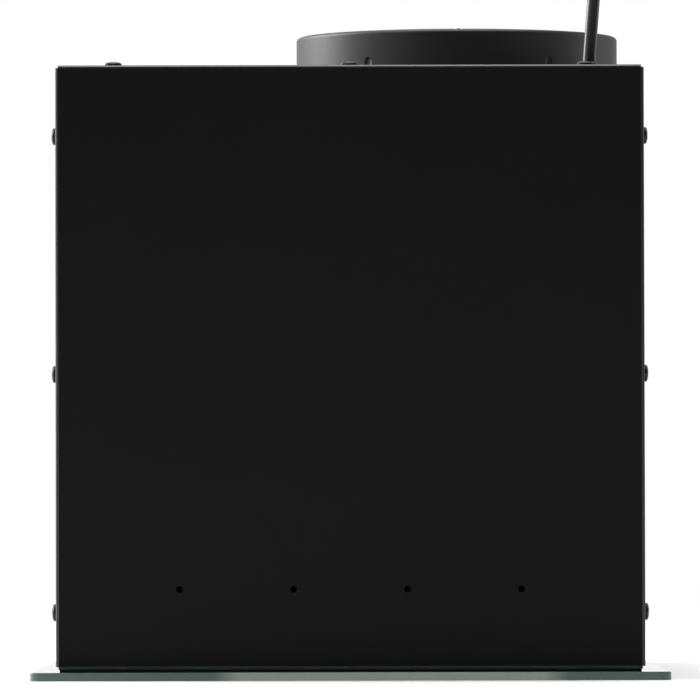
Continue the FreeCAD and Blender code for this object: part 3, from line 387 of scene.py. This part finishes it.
def glass_edge():
    """Glass seen through its ground and polished edge, drawn opaque: the light through the glass is painted
    on, green, paler where the window cuts its path short.
    """
    material, tree, shader, place = finish_of("float_glass_edge_polished_painted_light", Roughness=0.12, IOR=1.52)
    parts = add_node(tree, "SeparateXYZ", {"Vector": place})
    depth = add_node(tree, "Math", {0: parts.outputs["Y"], 1: WINDOW_CENTRE}, operation="SUBTRACT")
    away = add_node(tree, "Math", {0: depth.outputs["Value"]}, operation="ABSOLUTE")
    near = add_node(tree, "MapRange", {"Value": away.outputs["Value"], "From Min": 72 * MM,
                                       "From Max": 84 * MM, "To Min": 1.0, "To Max": 0.0})
    # painted light through the glass: dark green over the long paths beside the window, pale green in front
    # of it
    tint(tree, shader, near.outputs["Result"], hex_to_linear("445f58"), hex_to_linear("8d988e"))
    grain(tree, shader, place, 2.5 * MM, 0.15, 0.03 * MM)
    return material


def glass_enamel():
    """Black ceramic print fired on the glass: dense, faintly mottled, glossy through the glass."""
    material, tree, shader, place = finish_of("ceramic_enamel_black", Roughness=0.2)
    noise = grain(tree, shader, place, 1.2 * MM, 0.05, 0.01 * MM)
    tint(tree, shader, noise, hex_to_linear("0c0e0e"), hex_to_linear("141716"))
    return material


def foam_strip():
    """Closed-cell EPDM foam, cut: dull black with fine open pores."""
    material, tree, shader, place = finish_of("epdm_foam_cut", Roughness=0.9)
    noise = grain(tree, shader, place, 0.45 * MM, 0.6, 0.12 * MM, 4)
    tint(tree, shader, noise, hex_to_linear("0a0a0a"), hex_to_linear("1d1d1d"))
    return material


def moulded_grey():
    """ABS, dark grey, moulded in a fine spark-eroded tool: satin with a soft wide sheen."""
    material, tree, shader, place = finish_of("abs_moulded_dark_grey")
    noise = grain(tree, shader, place, 0.35 * MM, 0.25, 0.015 * MM, 3)
    tint(tree, shader, noise, scaled(colours().collar, 0.9), scaled(colours().collar, 1.1))
    vary(tree, shader, "Roughness", noise, 0.4, 0.5)
    return material


def moulded_black():
    """ABS, black, moulded with a fine matt grain: buttons, bezel, boxes, filter frame."""
    material, tree, shader, place = finish_of("abs_moulded_black", Roughness=0.45)
    noise = grain(tree, shader, place, 0.4 * MM, 0.3, 0.02 * MM, 3)
    tint(tree, shader, noise, hex_to_linear("161617"), hex_to_linear("202022"))
    return material


def flex_pvc():
    """Plasticised PVC sheath, extruded: black, half gloss, faintly uneven."""
    material, tree, shader, place = finish_of("pvc_sheath_black")
    noise = grain(tree, shader, place, 0.8 * MM, 0.2, 0.02 * MM)
    tint(tree, shader, noise, scaled(colours().lead, 0.85), scaled(colours().lead, 1.2))
    vary(tree, shader, "Roughness", noise, 0.26, 0.36)
    return material


def bright_zinc():
    """Zinc plate, clear passivated: pale grey metal with a soft sparkle."""
    material, tree, shader, place = finish_of("steel_bright_zinc", Metallic=1.0)
    noise = grain(tree, shader, place, 0.5 * MM, 0.1, 0.02 * MM)
    tint(tree, shader, noise, hex_to_linear("a9adae"), hex_to_linear("c6c9c8"))
    vary(tree, shader, "Roughness", noise, 0.24, 0.4)
    return material


def galvanised():
    """Hot-dip galvanised sheet: flat zinc crystals, each a slightly different grey."""
    material, tree, shader, place = finish_of("steel_galvanised_spangle", Metallic=1.0)
    cells = add_node(tree, "TexVoronoi", {"Vector": place, "Scale": 1 / (7 * MM)})
    tint(tree, shader, cells.outputs["Color"], hex_to_linear("8f9496"), hex_to_linear("b4b8b8"))
    vary(tree, shader, "Roughness", cells.outputs["Color"], 0.35, 0.5)
    return material


def anodised():
    """Aluminium, satin anodised: fine lengthwise brushing under a clear skin."""
    material, tree, shader, place = finish_of("aluminium_satin_anodised", Metallic=1.0)
    stretched = add_node(tree, "Mapping", {"Vector": place, "Scale": (0.02, 1, 1)})
    brush = add_node(tree, "TexNoise", {"Vector": stretched.outputs["Vector"], "Scale": 1 / (0.3 * MM),
                                        "Detail": 2.0})
    tint(tree, shader, brush.outputs["Fac"], hex_to_linear("a8abad"), hex_to_linear("c3c5c6"))
    vary(tree, shader, "Roughness", brush.outputs["Fac"], 0.28, 0.44)
    return material


def metal_fibre():
    """Knitted aluminium fibre: bright crossing strands, with painted shade in the gaps between them."""
    material, tree, shader, place = finish_of("aluminium_fibre_knitted", Metallic=0.9, Roughness=0.4)
    strands = add_node(tree, "TexVoronoi", {"Vector": place, "Scale": 1 / (2.2 * MM)},
                       feature="DISTANCE_TO_EDGE")
    level = add_node(tree, "MapRange", {"Value": strands.outputs["Distance"], "From Min": 0.0,
                                        "From Max": 0.18, "To Min": 1.0, "To Max": 0.0})
    # painted shade: the gaps between the strands drawn near black
    tint(tree, shader, level.outputs["Result"], hex_to_linear("1b1c1d"), hex_to_linear("b7babc"))
    emboss(tree, shader, level.outputs["Result"], 0.8, 0.4 * MM)
    return material


def carbon_wadding():
    """Activated carbon held in fibre: near black, matt, with grains of about 2 mm."""
    material, tree, shader, place = finish_of("activated_carbon_wadding", Roughness=0.95)
    grains = add_node(tree, "TexVoronoi", {"Vector": place, "Scale": 1 / (2 * MM)})
    tint(tree, shader, grains.outputs["Color"], hex_to_linear("080808"), hex_to_linear("262626"))
    emboss(tree, shader, grains.outputs["Distance"], 0.8, 0.5 * MM)
    return material


def laminations():
    """Stacked electrical steel, varnished: leaves across the shaft, drawn coarser than 0.5 mm to show."""
    material, tree, shader, place = finish_of("electrical_steel_varnished", Metallic=0.8, Roughness=0.45)
    leaves = add_node(tree, "TexWave", {"Vector": place, "Scale": 1 / (10 * MM)}, bands_direction="X")
    tint(tree, shader, leaves.outputs["Fac"], hex_to_linear("34302c"), hex_to_linear("5c5853"))
    emboss(tree, shader, leaves.outputs["Fac"], 0.4, 0.1 * MM)
    return material


def polypropylene():
    """Polypropylene, grey-black, moulded: waxy surface with faint flow clouds."""
    material, tree, shader, place = finish_of("polypropylene_moulded_grey", Roughness=0.5)
    flow = grain(tree, shader, place, 9 * MM, 0.1, 0.05 * MM, 4)
    tint(tree, shader, flow, hex_to_linear("3a3b3d"), hex_to_linear("48494b"))
    return material


def board_green():
    """Glass-fibre board with solder mask: green, glossy, its weave drawn as 0.8 mm squares."""
    material, tree, shader, place = finish_of("fr4_solder_mask_green", Roughness=0.25)
    weave = add_node(tree, "TexChecker", {"Vector": place, "Scale": 1 / (0.8 * MM)})
    tint(tree, shader, weave.outputs["Fac"], hex_to_linear("0f4a2a"), hex_to_linear("13552f"))
    return material


def frosted_lens():
    """Acrylic diffuser, frosted inside: milky white with a polished face."""
    material, tree, shader, place = finish_of("acrylic_frosted", Roughness=0.25, Subsurface_Weight=0.2,
                                              Subsurface_Radius=(4 * MM, 4 * MM, 4 * MM))
    cloud = grain(tree, shader, place, 0.9 * MM, 0.1, 0.02 * MM)
    tint(tree, shader, cloud, hex_to_linear("dedfdb"), hex_to_linear("efefeb"))
    return material


def can_plastic():
    """Polypropylene capacitor can, cream white, smooth moulded."""
    material, tree, shader, place = finish_of("polypropylene_can_white", Roughness=0.35)
    cloud = grain(tree, shader, place, 3 * MM, 0.1, 0.03 * MM)
    tint(tree, shader, cloud, hex_to_linear("cfcdc2"), hex_to_linear("dcdad0"))
    return material


def nickel():
    """Nickel plate on brass pins: warm bright metal, finely mottled."""
    material, tree, shader, place = finish_of("brass_nickel_plated", Metallic=1.0)
    noise = grain(tree, shader, place, 0.3 * MM, 0.08, 0.01 * MM)
    tint(tree, shader, noise, hex_to_linear("b9b4a8"), hex_to_linear("d2cdc2"))
    vary(tree, shader, "Roughness", noise, 0.15, 0.28)
    return material


def floor_finish():
    """Matt white lacquered board under the unit: almost even, a trace of grain."""
    material, tree, shader, place = finish_of("stage_board_matt_white", Roughness=0.55,
                                              Emission_Color=(1, 1, 1, 1), Emission_Strength=0.25)
    cloud = add_node(tree, "TexNoise", {"Vector": place, "Scale": 1 / (80 * MM), "Detail": 3.0})
    tint(tree, shader, cloud.outputs["Fac"], hex_to_linear("f4f4f4"), hex_to_linear("f8f8f8"))
    return material


FINISHES = {}


def finish(maker):
    """The material a function makes, made once."""
    if maker not in FINISHES:
        FINISHES[maker] = maker()
    return FINISHES[maker]


# ---------------------------------------------------------------- operators

class EXTRACTOR_OT_camera(bpy.types.Operator):
    """Camera far off the right end, a little above the surface, tilted slightly up"""

    bl_idname = "extractor.camera"
    bl_label = "Camera"

    def execute(self, context):
        distance, height, look = 3.8, 70.8 * MM, 156.8 * MM
        data = bpy.data.cameras.new("camera")
        data.sensor_width = 36
        data.lens = 411.5
        data.clip_start = 0.1
        data.clip_end = 50
        camera = bpy.data.objects.new("camera", data)
        context.scene.collection.objects.link(camera)
        camera.location = (COVER_HIGH.x + distance, 0, height)
        tilt = math.atan2(look - height, distance)
        roll = math.radians(-0.13)
        aim = Matrix.Rotation(math.pi / 2, 4, "Z") @ Matrix.Rotation(math.pi / 2 + tilt, 4, "X")
        camera.rotation_euler = (aim @ Matrix.Rotation(roll, 4, "Z")).to_euler()
        context.scene.camera = camera
        return {"FINISHED"}


# The lead's route, in millimetres: out of the roof, across it, over the left end and down.
LEAD_ROUTE = [
    (228.0, 114.8, 295.0), (228.0, 117.8, 335.0), (198.5, 120.5, 355.6), (164.7, 120.3, 343.3),
    (155.4, 117.8, 308.5), (137.3, 117.0, 294.7), (112.2, 112.2, 294.7), (96.4, 92.6, 294.7),
    (96.4, 47.6, 294.7), (101.0, -2.0, 294.7), (84.0, -45.0, 294.7), (44.0, -71.0, 294.7),
    (-8.0, -80.0, 294.7), (-62.0, -84.0, 294.7), (-118.0, -80.0, 294.7), (-172.0, -86.0, 294.8),
    (-218.0, -92.0, 299.0), (-252.0, -94.0, 307.5), (-281.0, -96.0, 293.0), (-291.0, -97.0, 262.0),
    (-289.0, -98.0, 210.0), (-287.0, -100.0, 156.0), (-289.0, -104.0, 102.0), (-288.0, -108.0, 58.0),
    (-288.0, -100.0, 22.0), (-288.0, -76.0, 4.2), (-287.0, -42.0, 3.6), (-288.6, -12.0, 3.4),
    (-287.6, 17.0, 3.7), (-288.0, 45.0, 3.9),
]
# From the coil's top turn to the plug.
TAIL_ROUTE = [
    (-357.0, 39.0, 9.2), (-358.0, 11.0, 5.6), (-348.0, -17.0, 3.1), (-332.0, -43.0, 4.0),
    (-328.0, -71.0, 6.5),
]
COIL_CENTRE = (-324.0, 45.0)
COIL_TURNS = 2.5
COIL_POINTS = 14
OUTER_TURN, INNER_TURN_IN, TOP_TURN_OUT = 36.2, 6.2, 3.1
COIL_FOOT, COIL_RISE = 3.9, 5.4


def eased(value, start, stop):
    """0 before start, 1 after stop, and a smooth change between."""
    t = min(max((value - start) / (stop - start), 0), 1)
    return t * t * (3 - 2 * t)


def coil_points():
    """Two turns side by side on the surface, and half a turn in the groove between them."""
    points = []
    for i in range(1, int(COIL_TURNS * COIL_POINTS)):
        t = i / COIL_POINTS
        inward, onward = eased(t, 0.72, 0.98), eased(t, 1.45, 1.65)
        radius = OUTER_TURN - INNER_TURN_IN * inward + TOP_TURN_OUT * onward
        height = COIL_FOOT + COIL_RISE * eased(t, 1.33, 1.55)
        angle = 2 * math.pi * t
        points.append((COIL_CENTRE[0] + radius * math.cos(angle),
                       COIL_CENTRE[1] + radius * math.sin(angle), height))
    return points


class EXTRACTOR_OT_lead(bpy.types.Operator):
    """The whole mains lead as one smooth line, with its plug and tie"""

    bl_idname = "extractor.lead"
    bl_label = "Mains lead"

    def execute(self, context):
        diameter = sizes().cord
        line = bpy.data.curves.new("lead", "CURVE")
        line.dimensions = "3D"
        line.bevel_depth = diameter / 2
        line.bevel_resolution = 6
        line.resolution_u = 8
        line.use_fill_caps = True
        spline = line.splines.new("NURBS")
        points = LEAD_ROUTE + coil_points() + TAIL_ROUTE
        spline.points.add(len(points) - 1)
        for point, place in zip(spline.points, points):
            point.co = (*(value * MM for value in place), 1)
        spline.order_u = 3
        spline.use_endpoint_u = True
        lead = bpy.data.objects.new("lead", line)
        context.collection.objects.link(lead)
        finish_piece(lead, finish(flex_pvc),
                     stands_for=("mains_cord", "cord_coil", "cord_tail"))
        repaint(finish(flex_pvc), "plug_body", "cord_tie", "cord_grommet")
        repaint(finish(nickel), "plug_pins")
        return {"FINISHED"}


def studio_world(context):
    """White surroundings: light comes mostly from the far left, little from the near end."""
    world = bpy.data.worlds.new("studio")
    context.scene.world = world
    world.use_nodes = True
    tree = world.node_tree
    far_left = (-0.6, -0.8, 0)
    direction = add_node(tree, "TexCoord").outputs["Generated"]
    towards = add_node(tree, "VectorMath", {0: direction, 1: far_left}, operation="DOT_PRODUCT")
    level = add_node(tree, "MapRange", {"Value": towards.outputs["Value"], "From Min": -0.3,
                                        "From Max": 0.6, "To Min": 0.04, "To Max": 1.0})
    seen = add_node(tree, "LightPath").outputs["Is Camera Ray"]
    strength = add_node(tree, "Math", {0: level.outputs["Result"], 1: seen}, operation="MAXIMUM")
    background = tree.nodes["Background"]
    background.inputs["Color"].default_value = (1, 1, 1, 1)
    tree.links.new(strength.outputs["Value"], background.inputs["Strength"])


def soft_light(context, name, place, size, power):
    """A square soft box that points at the unit's middle."""
    light = bpy.data.lights.new(name, "AREA")
    light.shape = "SQUARE"
    light.size = size
    light.energy = power
    lamp = bpy.data.objects.new(name, light)
    context.scene.collection.objects.link(lamp)
    lamp.location = place
    aim = Vector((0, 0, 0.15)) - Vector(place)
    lamp.rotation_euler = aim.to_track_quat("-Z", "Y").to_euler()
    lamp.visible_camera = False


class EXTRACTOR_OT_stage(bpy.types.Operator):
    """Pale floor, white surroundings and soft studio lights"""

    bl_idname = "extractor.stage"
    bl_label = "Stage"

    def execute(self, context):
        floor_side = 4.4
        deselect()
        bpy.ops.mesh.primitive_plane_add(size=1, location=(0, 0, -0.15 * MM))
        context.object.scale = (floor_side, floor_side, 1)
        floor = settle("stage_floor")
        floor.data.materials.append(finish(floor_finish))
        studio_world(context)
        soft_light(context, "soft_box_left", (-0.9, -2.2, 1.2), 1.6, 75)
        soft_light(context, "soft_box_right", (-0.9, 2.4, 1.0), 1.4, 9)
        soft_light(context, "soft_box_top", (0.2, 0, 2.6), 2.0, 62)
        context.scene.view_settings.view_transform = "Standard"
        return {"FINISHED"}


def folded_cover(name, side):
    """An end cover: bent from a plate, hollow, relieved at its corners and drilled."""
    low, high, sheet = COVER_LOW, COVER_HIGH, sizes().sheet
    face, mouth = high.x, low.x
    cover = block(name, low, high)
    pick(cover, "EDGE", lambda a, b: min(a.x, b.x) > face - 0.01 * MM)
    bpy.ops.mesh.bevel(offset=sizes().bend, segments=5, affect="EDGES")
    leave_edit()
    hollow = block("hollow", (mouth - sheet, low.y + sheet, low.z + sheet),
                   (face - sheet, high.y - sheet, high.z - sheet))
    pick(hollow, "EDGE", lambda a, b: min(a.x, b.x) > face - sheet - 0.01 * MM)
    bpy.ops.mesh.bevel(offset=sizes().bend - sheet, segments=3, affect="EDGES")
    leave_edit()
    reliefs = [corner_relief(cover_corner, mouth, face) for cover_corner in cover_corners()]
    row = []
    for step in (-1.5, -0.5, 0.5, 1.5):
        y = step * COVER_HOLE_PITCH
        row.append(rod("drill", COVER_HOLE, (face - 3 * sheet, y, COVER_HOLE_HEIGHT),
                       (face + sheet, y, COVER_HOLE_HEIGHT), 32))
    cut(cover, hollow, *reliefs, *row)
    round_edges(cover, sizes().cut_edge, 2, 40)
    if side < 0:
        cover.data.transform(Matrix.Rotation(math.pi, 4, "Z"))
    smooth(cover, 30)
    return cover


def cover_corners():
    """The four corners of a cover: place, and the way inwards."""
    return [(y, z, inward, upward) for y, inward in ((COVER_LOW.y, 1), (COVER_HIGH.y, -1))
            for z, upward in ((COVER_LOW.z, 1), (COVER_HIGH.z, -1))]


def corner_relief(corner, mouth, face):
    """What is cut off one corner, so that the flanges can be bent: a small square nick."""
    y, z, inward, upward = corner
    past = 1 * MM
    ys = sorted((y - past * inward, y + CORNER_RELIEF * inward))
    zs = sorted((z - past * upward, z + CORNER_RELIEF * upward))
    return block("relief", (mouth - past, ys[0], zs[0]), (face + past, ys[1], zs[1]))


class EXTRACTOR_OT_covers(bpy.types.Operator):
    """Folded end covers with bent flanges, nicked corners and a row of four holes"""

    bl_idname = "extractor.covers"
    bl_label = "End covers"

    def execute(self, context):
        for name, side in (("end_cover_right", 1), ("end_cover_left", -1)):
            cover = folded_cover(name.replace("end_cover", "folded_cover"), side)
            finish_piece(cover, finish(powder_coat), stands_for=(name,))
            cover.data.materials.append(finish(powder_painted_bend_highlight))
            # the bend faces take the lighter, glossier copy of the powder coat: a painted highlight along
            # each bend
            bend_slot = 1
            for face in cover.data.polygons:
                if 0.1 < abs(face.normal.x) < 0.99:
                    face.material_index = bend_slot
        return {"FINISHED"}


def pan_head_screw(name, head, height, shank, length):
    """A pan-head screw with a tapered cross recess; its head stands on z = 0."""
    dome = [(head * math.sin(a), height * (0.5 + 0.5 * math.cos(a)))
            for a in (math.pi / 2, 1.2, 0.85, 0.5)]
    neck = [(0, -length), (shank * 0.75, -length), (shank, -length + 0.9 * MM), (shank, 0),
            (head * 0.97, 0), (head, height * 0.12)]
    screw = turned(name, neck + dome + [(0, height)], 40)
    for turn in (0, math.pi / 2):
        blade = block("blade", (-head * 0.62, -head * 0.13, height * 0.35),
                      (head * 0.62, head * 0.13, height * 1.2))
        pick(blade, "FACE", lambda centre, normal: normal.z < -0.9)
        bpy.ops.transform.resize(value=(0.45, 0.8, 1))
        leave_edit()
        blade.data.transform(Matrix.Rotation(turn, 4, "Z"))
        cut(screw, blade)
    smooth(screw, 32)
    return screw


def cover_screw_places(side):
    """Three screws on top and three on each wall, each turned as it happened to stop."""
    x = side * (COVER_HIGH.x - SCREW_SETBACK)
    lift = Matrix.Translation
    places = [lift((x, k * SCREW_PITCH, COVER_HIGH.z)) @ Matrix.Rotation(0.5 * k + 0.3, 4, "Z")
              for k in (-1, 0, 1)]
    for k, level in enumerate(SCREW_LEVELS):
        for wall, turn in ((COVER_LOW.y, math.pi / 2), (COVER_HIGH.y, -math.pi / 2)):
            twist = Matrix.Rotation(turn, 4, "X") @ Matrix.Rotation(0.7 * k + wall, 4, "Z")
            places.append(lift((x, wall, level)) @ twist)
    return places


class EXTRACTOR_OT_cover_screws(bpy.types.Operator):
    """Nine cross-recess pan-head screws round each end cover"""

    bl_idname = "extractor.cover_screws"
    bl_label = "Cover screws"

    def execute(self, context):
        for name, side in (("cover_screws_right", 1), ("cover_screws_left", -1)):
            screw = pan_head_screw("screw", head=sizes().screw_head / 2, height=2.1 * MM,
                                   shank=2.0 * MM, length=7 * MM)
            group = copies(name.replace("cover_screws", "pan_screws"), screw, cover_screw_places(side))
            finish_piece(group, finish(black_zinc), stands_for=(name,))
        return {"FINISHED"}


def rounded_slot(name, low, high, radius):
    """A cutter with rounded upright edges."""
    piece = block(name, (*low, -5 * MM), (*high, 9 * MM))
    pick(piece, "EDGE", lambda a, b: abs(a.z - b.z) > MM)
    bpy.ops.mesh.bevel(offset=radius, segments=8, affect="EDGES")
    leave_edit()
    return piece


class EXTRACTOR_OT_glass(bpy.types.Operator):
    """Glass plate with polished edges, cut-outs, and a black print under the case"""

    bl_idname = "extractor.glass"
    bl_label = "Glass plate"

    def execute(self, context):
        plate = block("glass_sheet", GLASS_LOW, GLASS_HIGH)
        pick(plate, "EDGE", lambda a, b: abs(a.z - b.z) > MM)
        bpy.ops.mesh.bevel(offset=GLASS_CORNER, segments=8, affect="EDGES")
        leave_edit()
        lamps = [rod("drill", LAMP_HOLE, (x, y, -5 * MM), (x, y, 9 * MM), 64) for x, y in LAMP_PLACES]
        window_corner, slot_corner, ground_edge, margin = 8 * MM, 1 * MM, 0.9 * MM, 3 * MM
        cut(plate, rounded_slot("window", *WINDOW, window_corner),
            rounded_slot("slot", *CONTROL_SLOT, slot_corner), *lamps)
        round_edges(plate, ground_edge, 4, 40)
        for value, axis in ((COVER_HIGH.x - margin, 0), (COVER_HIGH.y - margin, 1)):
            for sign in (-1, 1):
                activate(plate)
                bpy.ops.object.mode_set(mode="EDIT")
                bpy.ops.mesh.select_all(action="SELECT")
                place, normal = [0, 0, 0], [0, 0, 0]
                place[axis], normal[axis] = sign * value, 1
                bpy.ops.mesh.bisect(plane_co=place, plane_no=normal)
                leave_edit()
        smooth(plate, 40)
        finish_piece(plate, finish(float_glass), stands_for=("glass_plate",))
        plate.data.materials.append(finish(glass_edge))
        plate.data.materials.append(finish(glass_enamel))
        top, reach_x, reach_y = GLASS_HIGH.z, COVER_HIGH.x - margin, COVER_HIGH.y - margin
        edge_slot, print_slot = 1, 2
        for face in plate.data.polygons:
            centre = face.center
            if abs(face.normal.z) < 0.95:
                face.material_index = edge_slot
            elif centre.z > top - 0.01 * MM and abs(centre.x) < reach_x and abs(centre.y) < reach_y:
                face.material_index = print_slot
        return {"FINISHED"}


def flute(rim, turn, foot):
    """A cutter for a shallow upright dent with a round top, at an angle round the rim."""
    radius, depth, height = 4 * MM, 0.7 * MM, 14 * MM
    half = [(0, -2 * MM), (radius, -2 * MM), (radius, height),
            *arc((0, height), radius, 20, 90, 6)[:-1], (0, height + radius)]
    piece = turned("flute", half, 32)
    reach = rim + radius - depth
    piece.data.transform(Matrix.Translation((reach * math.cos(turn), reach * math.sin(turn), foot)))
    return piece


def upset_spindle():
    """The flaps' spindle, with both ends upset so that it can't slide out."""
    end = [(1.5 * MM, 78.2 * MM), (1.9 * MM, 78.6 * MM), (1.9 * MM, 79.8 * MM), (1.6 * MM, 80.2 * MM),
           (0, 80.2 * MM)]
    other_end = [(radius, -level) for radius, level in reversed(end)]
    pin = turned("upset_spindle", other_end + end, 24)
    along = Matrix.Rotation(math.pi / 2, 4, "Y")
    pin.data.transform(Matrix.Translation((0, COLLAR_CENTRE, SPINDLE_LEVEL)) @ along)
    smooth(pin, 35)
    return pin


class EXTRACTOR_OT_collar(bpy.types.Operator):
    """Moulded duct collar with its rounded lip, flutes and screw holes, and the flaps' spindle"""

    bl_idname = "extractor.collar"
    bl_label = "Duct collar"

    def execute(self, context):
        rim, foot, top = COLLAR_HIGH.x, COLLAR_LOW.z + 1 * MM, COLLAR_HIGH.z
        wall, spigot_wall, flange, ledge_depth = 2.6 * MM, 3 * MM, 3 * MM, 3.3 * MM
        screw_hole, notch_half = 1.8 * MM, 1.6 * MM
        inner, throat = rim - wall, COLLAR_THROAT
        lip_round, wall_round, ledge = 2 * MM, 0.6 * MM, inner - 2.2 * MM
        spigot = [(throat, foot - 1 * MM), (throat + spigot_wall, foot - 1 * MM),
                  (throat + spigot_wall, foot)]
        lip = [(rim, foot), *arc((rim - lip_round, top - lip_round), lip_round, 0, 90, 9)]
        inside = [*arc((inner + wall_round, top - wall_round), wall_round, 90, 180, 5),
                  (inner, top - ledge_depth), (ledge, top - ledge_depth), (ledge, top - 4.8 * MM),
                  (inner, top - 7 * MM),
                  *arc((inner - 1 * MM, foot + 4 * MM), 1 * MM, 0, -90, 5),
                  *arc((throat + wall_round, foot + flange - wall_round), wall_round, 90, 180, 5),
                  (throat, foot - 1 * MM)]
        collar = turned("moulded_collar", spigot + lip + inside, 192)
        tools = [flute(rim, math.radians(angle), foot) for angle in (33.7, 146.3, 213.7, 326.3)]
        for x in (-COLLAR_SCREW, COLLAR_SCREW):
            for y in (-COLLAR_SCREW, COLLAR_SCREW):
                tools.append(rod("drill", screw_hole, (x, y, foot - 3 * MM), (x, y, foot + 6 * MM), 24))
        for side in (-1, 1):
            ends = sorted((side * (inner - 4 * MM), side * (rim - 1 * MM)))
            tools.append(block("notch", (ends[0], -notch_half, top - ledge_depth),
                               (ends[1], notch_half, top + 2 * MM)))
        cut(collar, *tools)
        round_edges(collar, 0.25 * MM, 2, 24)
        collar.data.transform(Matrix.Translation((0, COLLAR_CENTRE, 0)))
        smooth(collar, 32)
        finish_piece(collar, finish(moulded_grey), stands_for=("duct_collar",))
        pin = upset_spindle()
        finish_piece(pin, finish(black_zinc), stands_for=("flap_spindle",))
        return {"FINISHED"}


class EXTRACTOR_OT_mesh(bpy.types.Operator):
    """Wire grid on the face of the filter cassette"""

    bl_idname = "extractor.filter_mesh"
    bl_label = "Filter mesh"

    def execute(self, context):
        low, high = (Vector(corner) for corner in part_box("filter_mesh"))
        pitch, wire = 4 * MM, 0.75 * MM
        deselect()
        bpy.ops.mesh.primitive_grid_add(x_subdivisions=int((high.x - low.x) / pitch),
                                        y_subdivisions=int((high.y - low.y) / pitch),
                                        size=1, location=(low + high) / 2)
        context.object.scale = (high.x - low.x, high.y - low.y, 1)
        weave = settle("woven_mesh")
        apply_modifier(weave, "WIREFRAME", thickness=wire, use_even_offset=False)
        finish_piece(weave, finish(bright_zinc), body="filter_cassette",
                     stands_for=("filter_mesh",))
        return {"FINISHED"}


class EXTRACTOR_OT_case(bpy.types.Operator):
    """Finishes of all the CAD pieces, those with a detailed stand-in among them"""

    bl_idname = "extractor.case"
    bl_label = "Case and inner parts"

    def execute(self, context):
        repaint(finish(powder_coat), "casing_wrap", "end_cover_right", "end_cover_left")
        repaint(finish(black_zinc), "base_rivets", "cover_screws_right", "cover_screws_left")
        repaint(finish(galvanised), "base_frame", "carbon_rail_front", "carbon_rail_rear", "filter_hinges",
                "motor_bracket")
        repaint(finish(bright_zinc), "glass_fixings", "glass_nuts", "volute_screws", "motor_screws",
                "collar_screws", "latch_spring", "flap_spindle", "motor_shaft", "motor_bell_front",
                "motor_bell_rear", "motor_bearings")
        repaint(finish(float_glass), "glass_plate")
        repaint(finish(foam_strip), "glass_gasket", "motor_mounts")
        repaint(finish(anodised), "filter_frame", "filter_mesh", "lamp_bezels")
        repaint(finish(metal_fibre), "filter_pad")
        repaint(finish(moulded_black), "filter_latch", "carbon_frame", "control_bezel", "switch_block",
                "terminal_box", "terminal_lid", "button_off", "button_low", "button_mid", "button_high",
                "button_lamp")
        repaint(finish(carbon_wadding), "carbon_mat")
        repaint(finish(board_green), "control_board", "lamp_boards")
        repaint(finish(frosted_lens), "lamp_lenses")
        repaint(finish(polypropylene), "volute_left", "volute_right", "impeller")
        repaint(finish(laminations), "stator_pack", "rotor_core")
        repaint(finish(can_plastic), "run_capacitor")
        repaint(finish(moulded_grey), "duct_collar", "flap_front", "flap_rear")
        return {"FINISHED"}


class EXTRACTOR_PT_panel(bpy.types.Panel):
    """The extractor's sizes, colours and pieces"""

    bl_idname = "EXTRACTOR_PT_panel"
    bl_label = "Fume extractor"
    bl_space_type = "VIEW_3D"
    bl_region_type = "UI"
    bl_category = "Extractor"

    def draw(self, context):
        for group in (context.scene.extractor_sizes, context.scene.extractor_colours):
            for name in group.bl_rna.properties.keys():
                if name not in ("rna_type", "name"):
                    self.layout.prop(group, name)
        for operator in OPERATORS:
            self.layout.operator(operator.bl_idname)


OPERATORS = (EXTRACTOR_OT_camera, EXTRACTOR_OT_lead, EXTRACTOR_OT_stage, EXTRACTOR_OT_case,
             EXTRACTOR_OT_covers, EXTRACTOR_OT_cover_screws, EXTRACTOR_OT_glass, EXTRACTOR_OT_collar,
             EXTRACTOR_OT_mesh)
CLASSES = (ExtractorSizes, ExtractorColours, *OPERATORS, EXTRACTOR_PT_panel)


def register():
    for item in CLASSES:
        bpy.utils.register_class(item)
    bpy.types.Scene.extractor_sizes = PointerProperty(type=ExtractorSizes)
    bpy.types.Scene.extractor_colours = PointerProperty(type=ExtractorColours)


def unregister():
    del bpy.types.Scene.extractor_colours
    del bpy.types.Scene.extractor_sizes
    for item in reversed(CLASSES):
        bpy.utils.unregister_class(item)


def main():
    register()
    for operator in OPERATORS:
        group, name = operator.bl_idname.split(".")
        getattr(getattr(bpy.ops, group), name)()


if __name__ == "__main__":
    main()
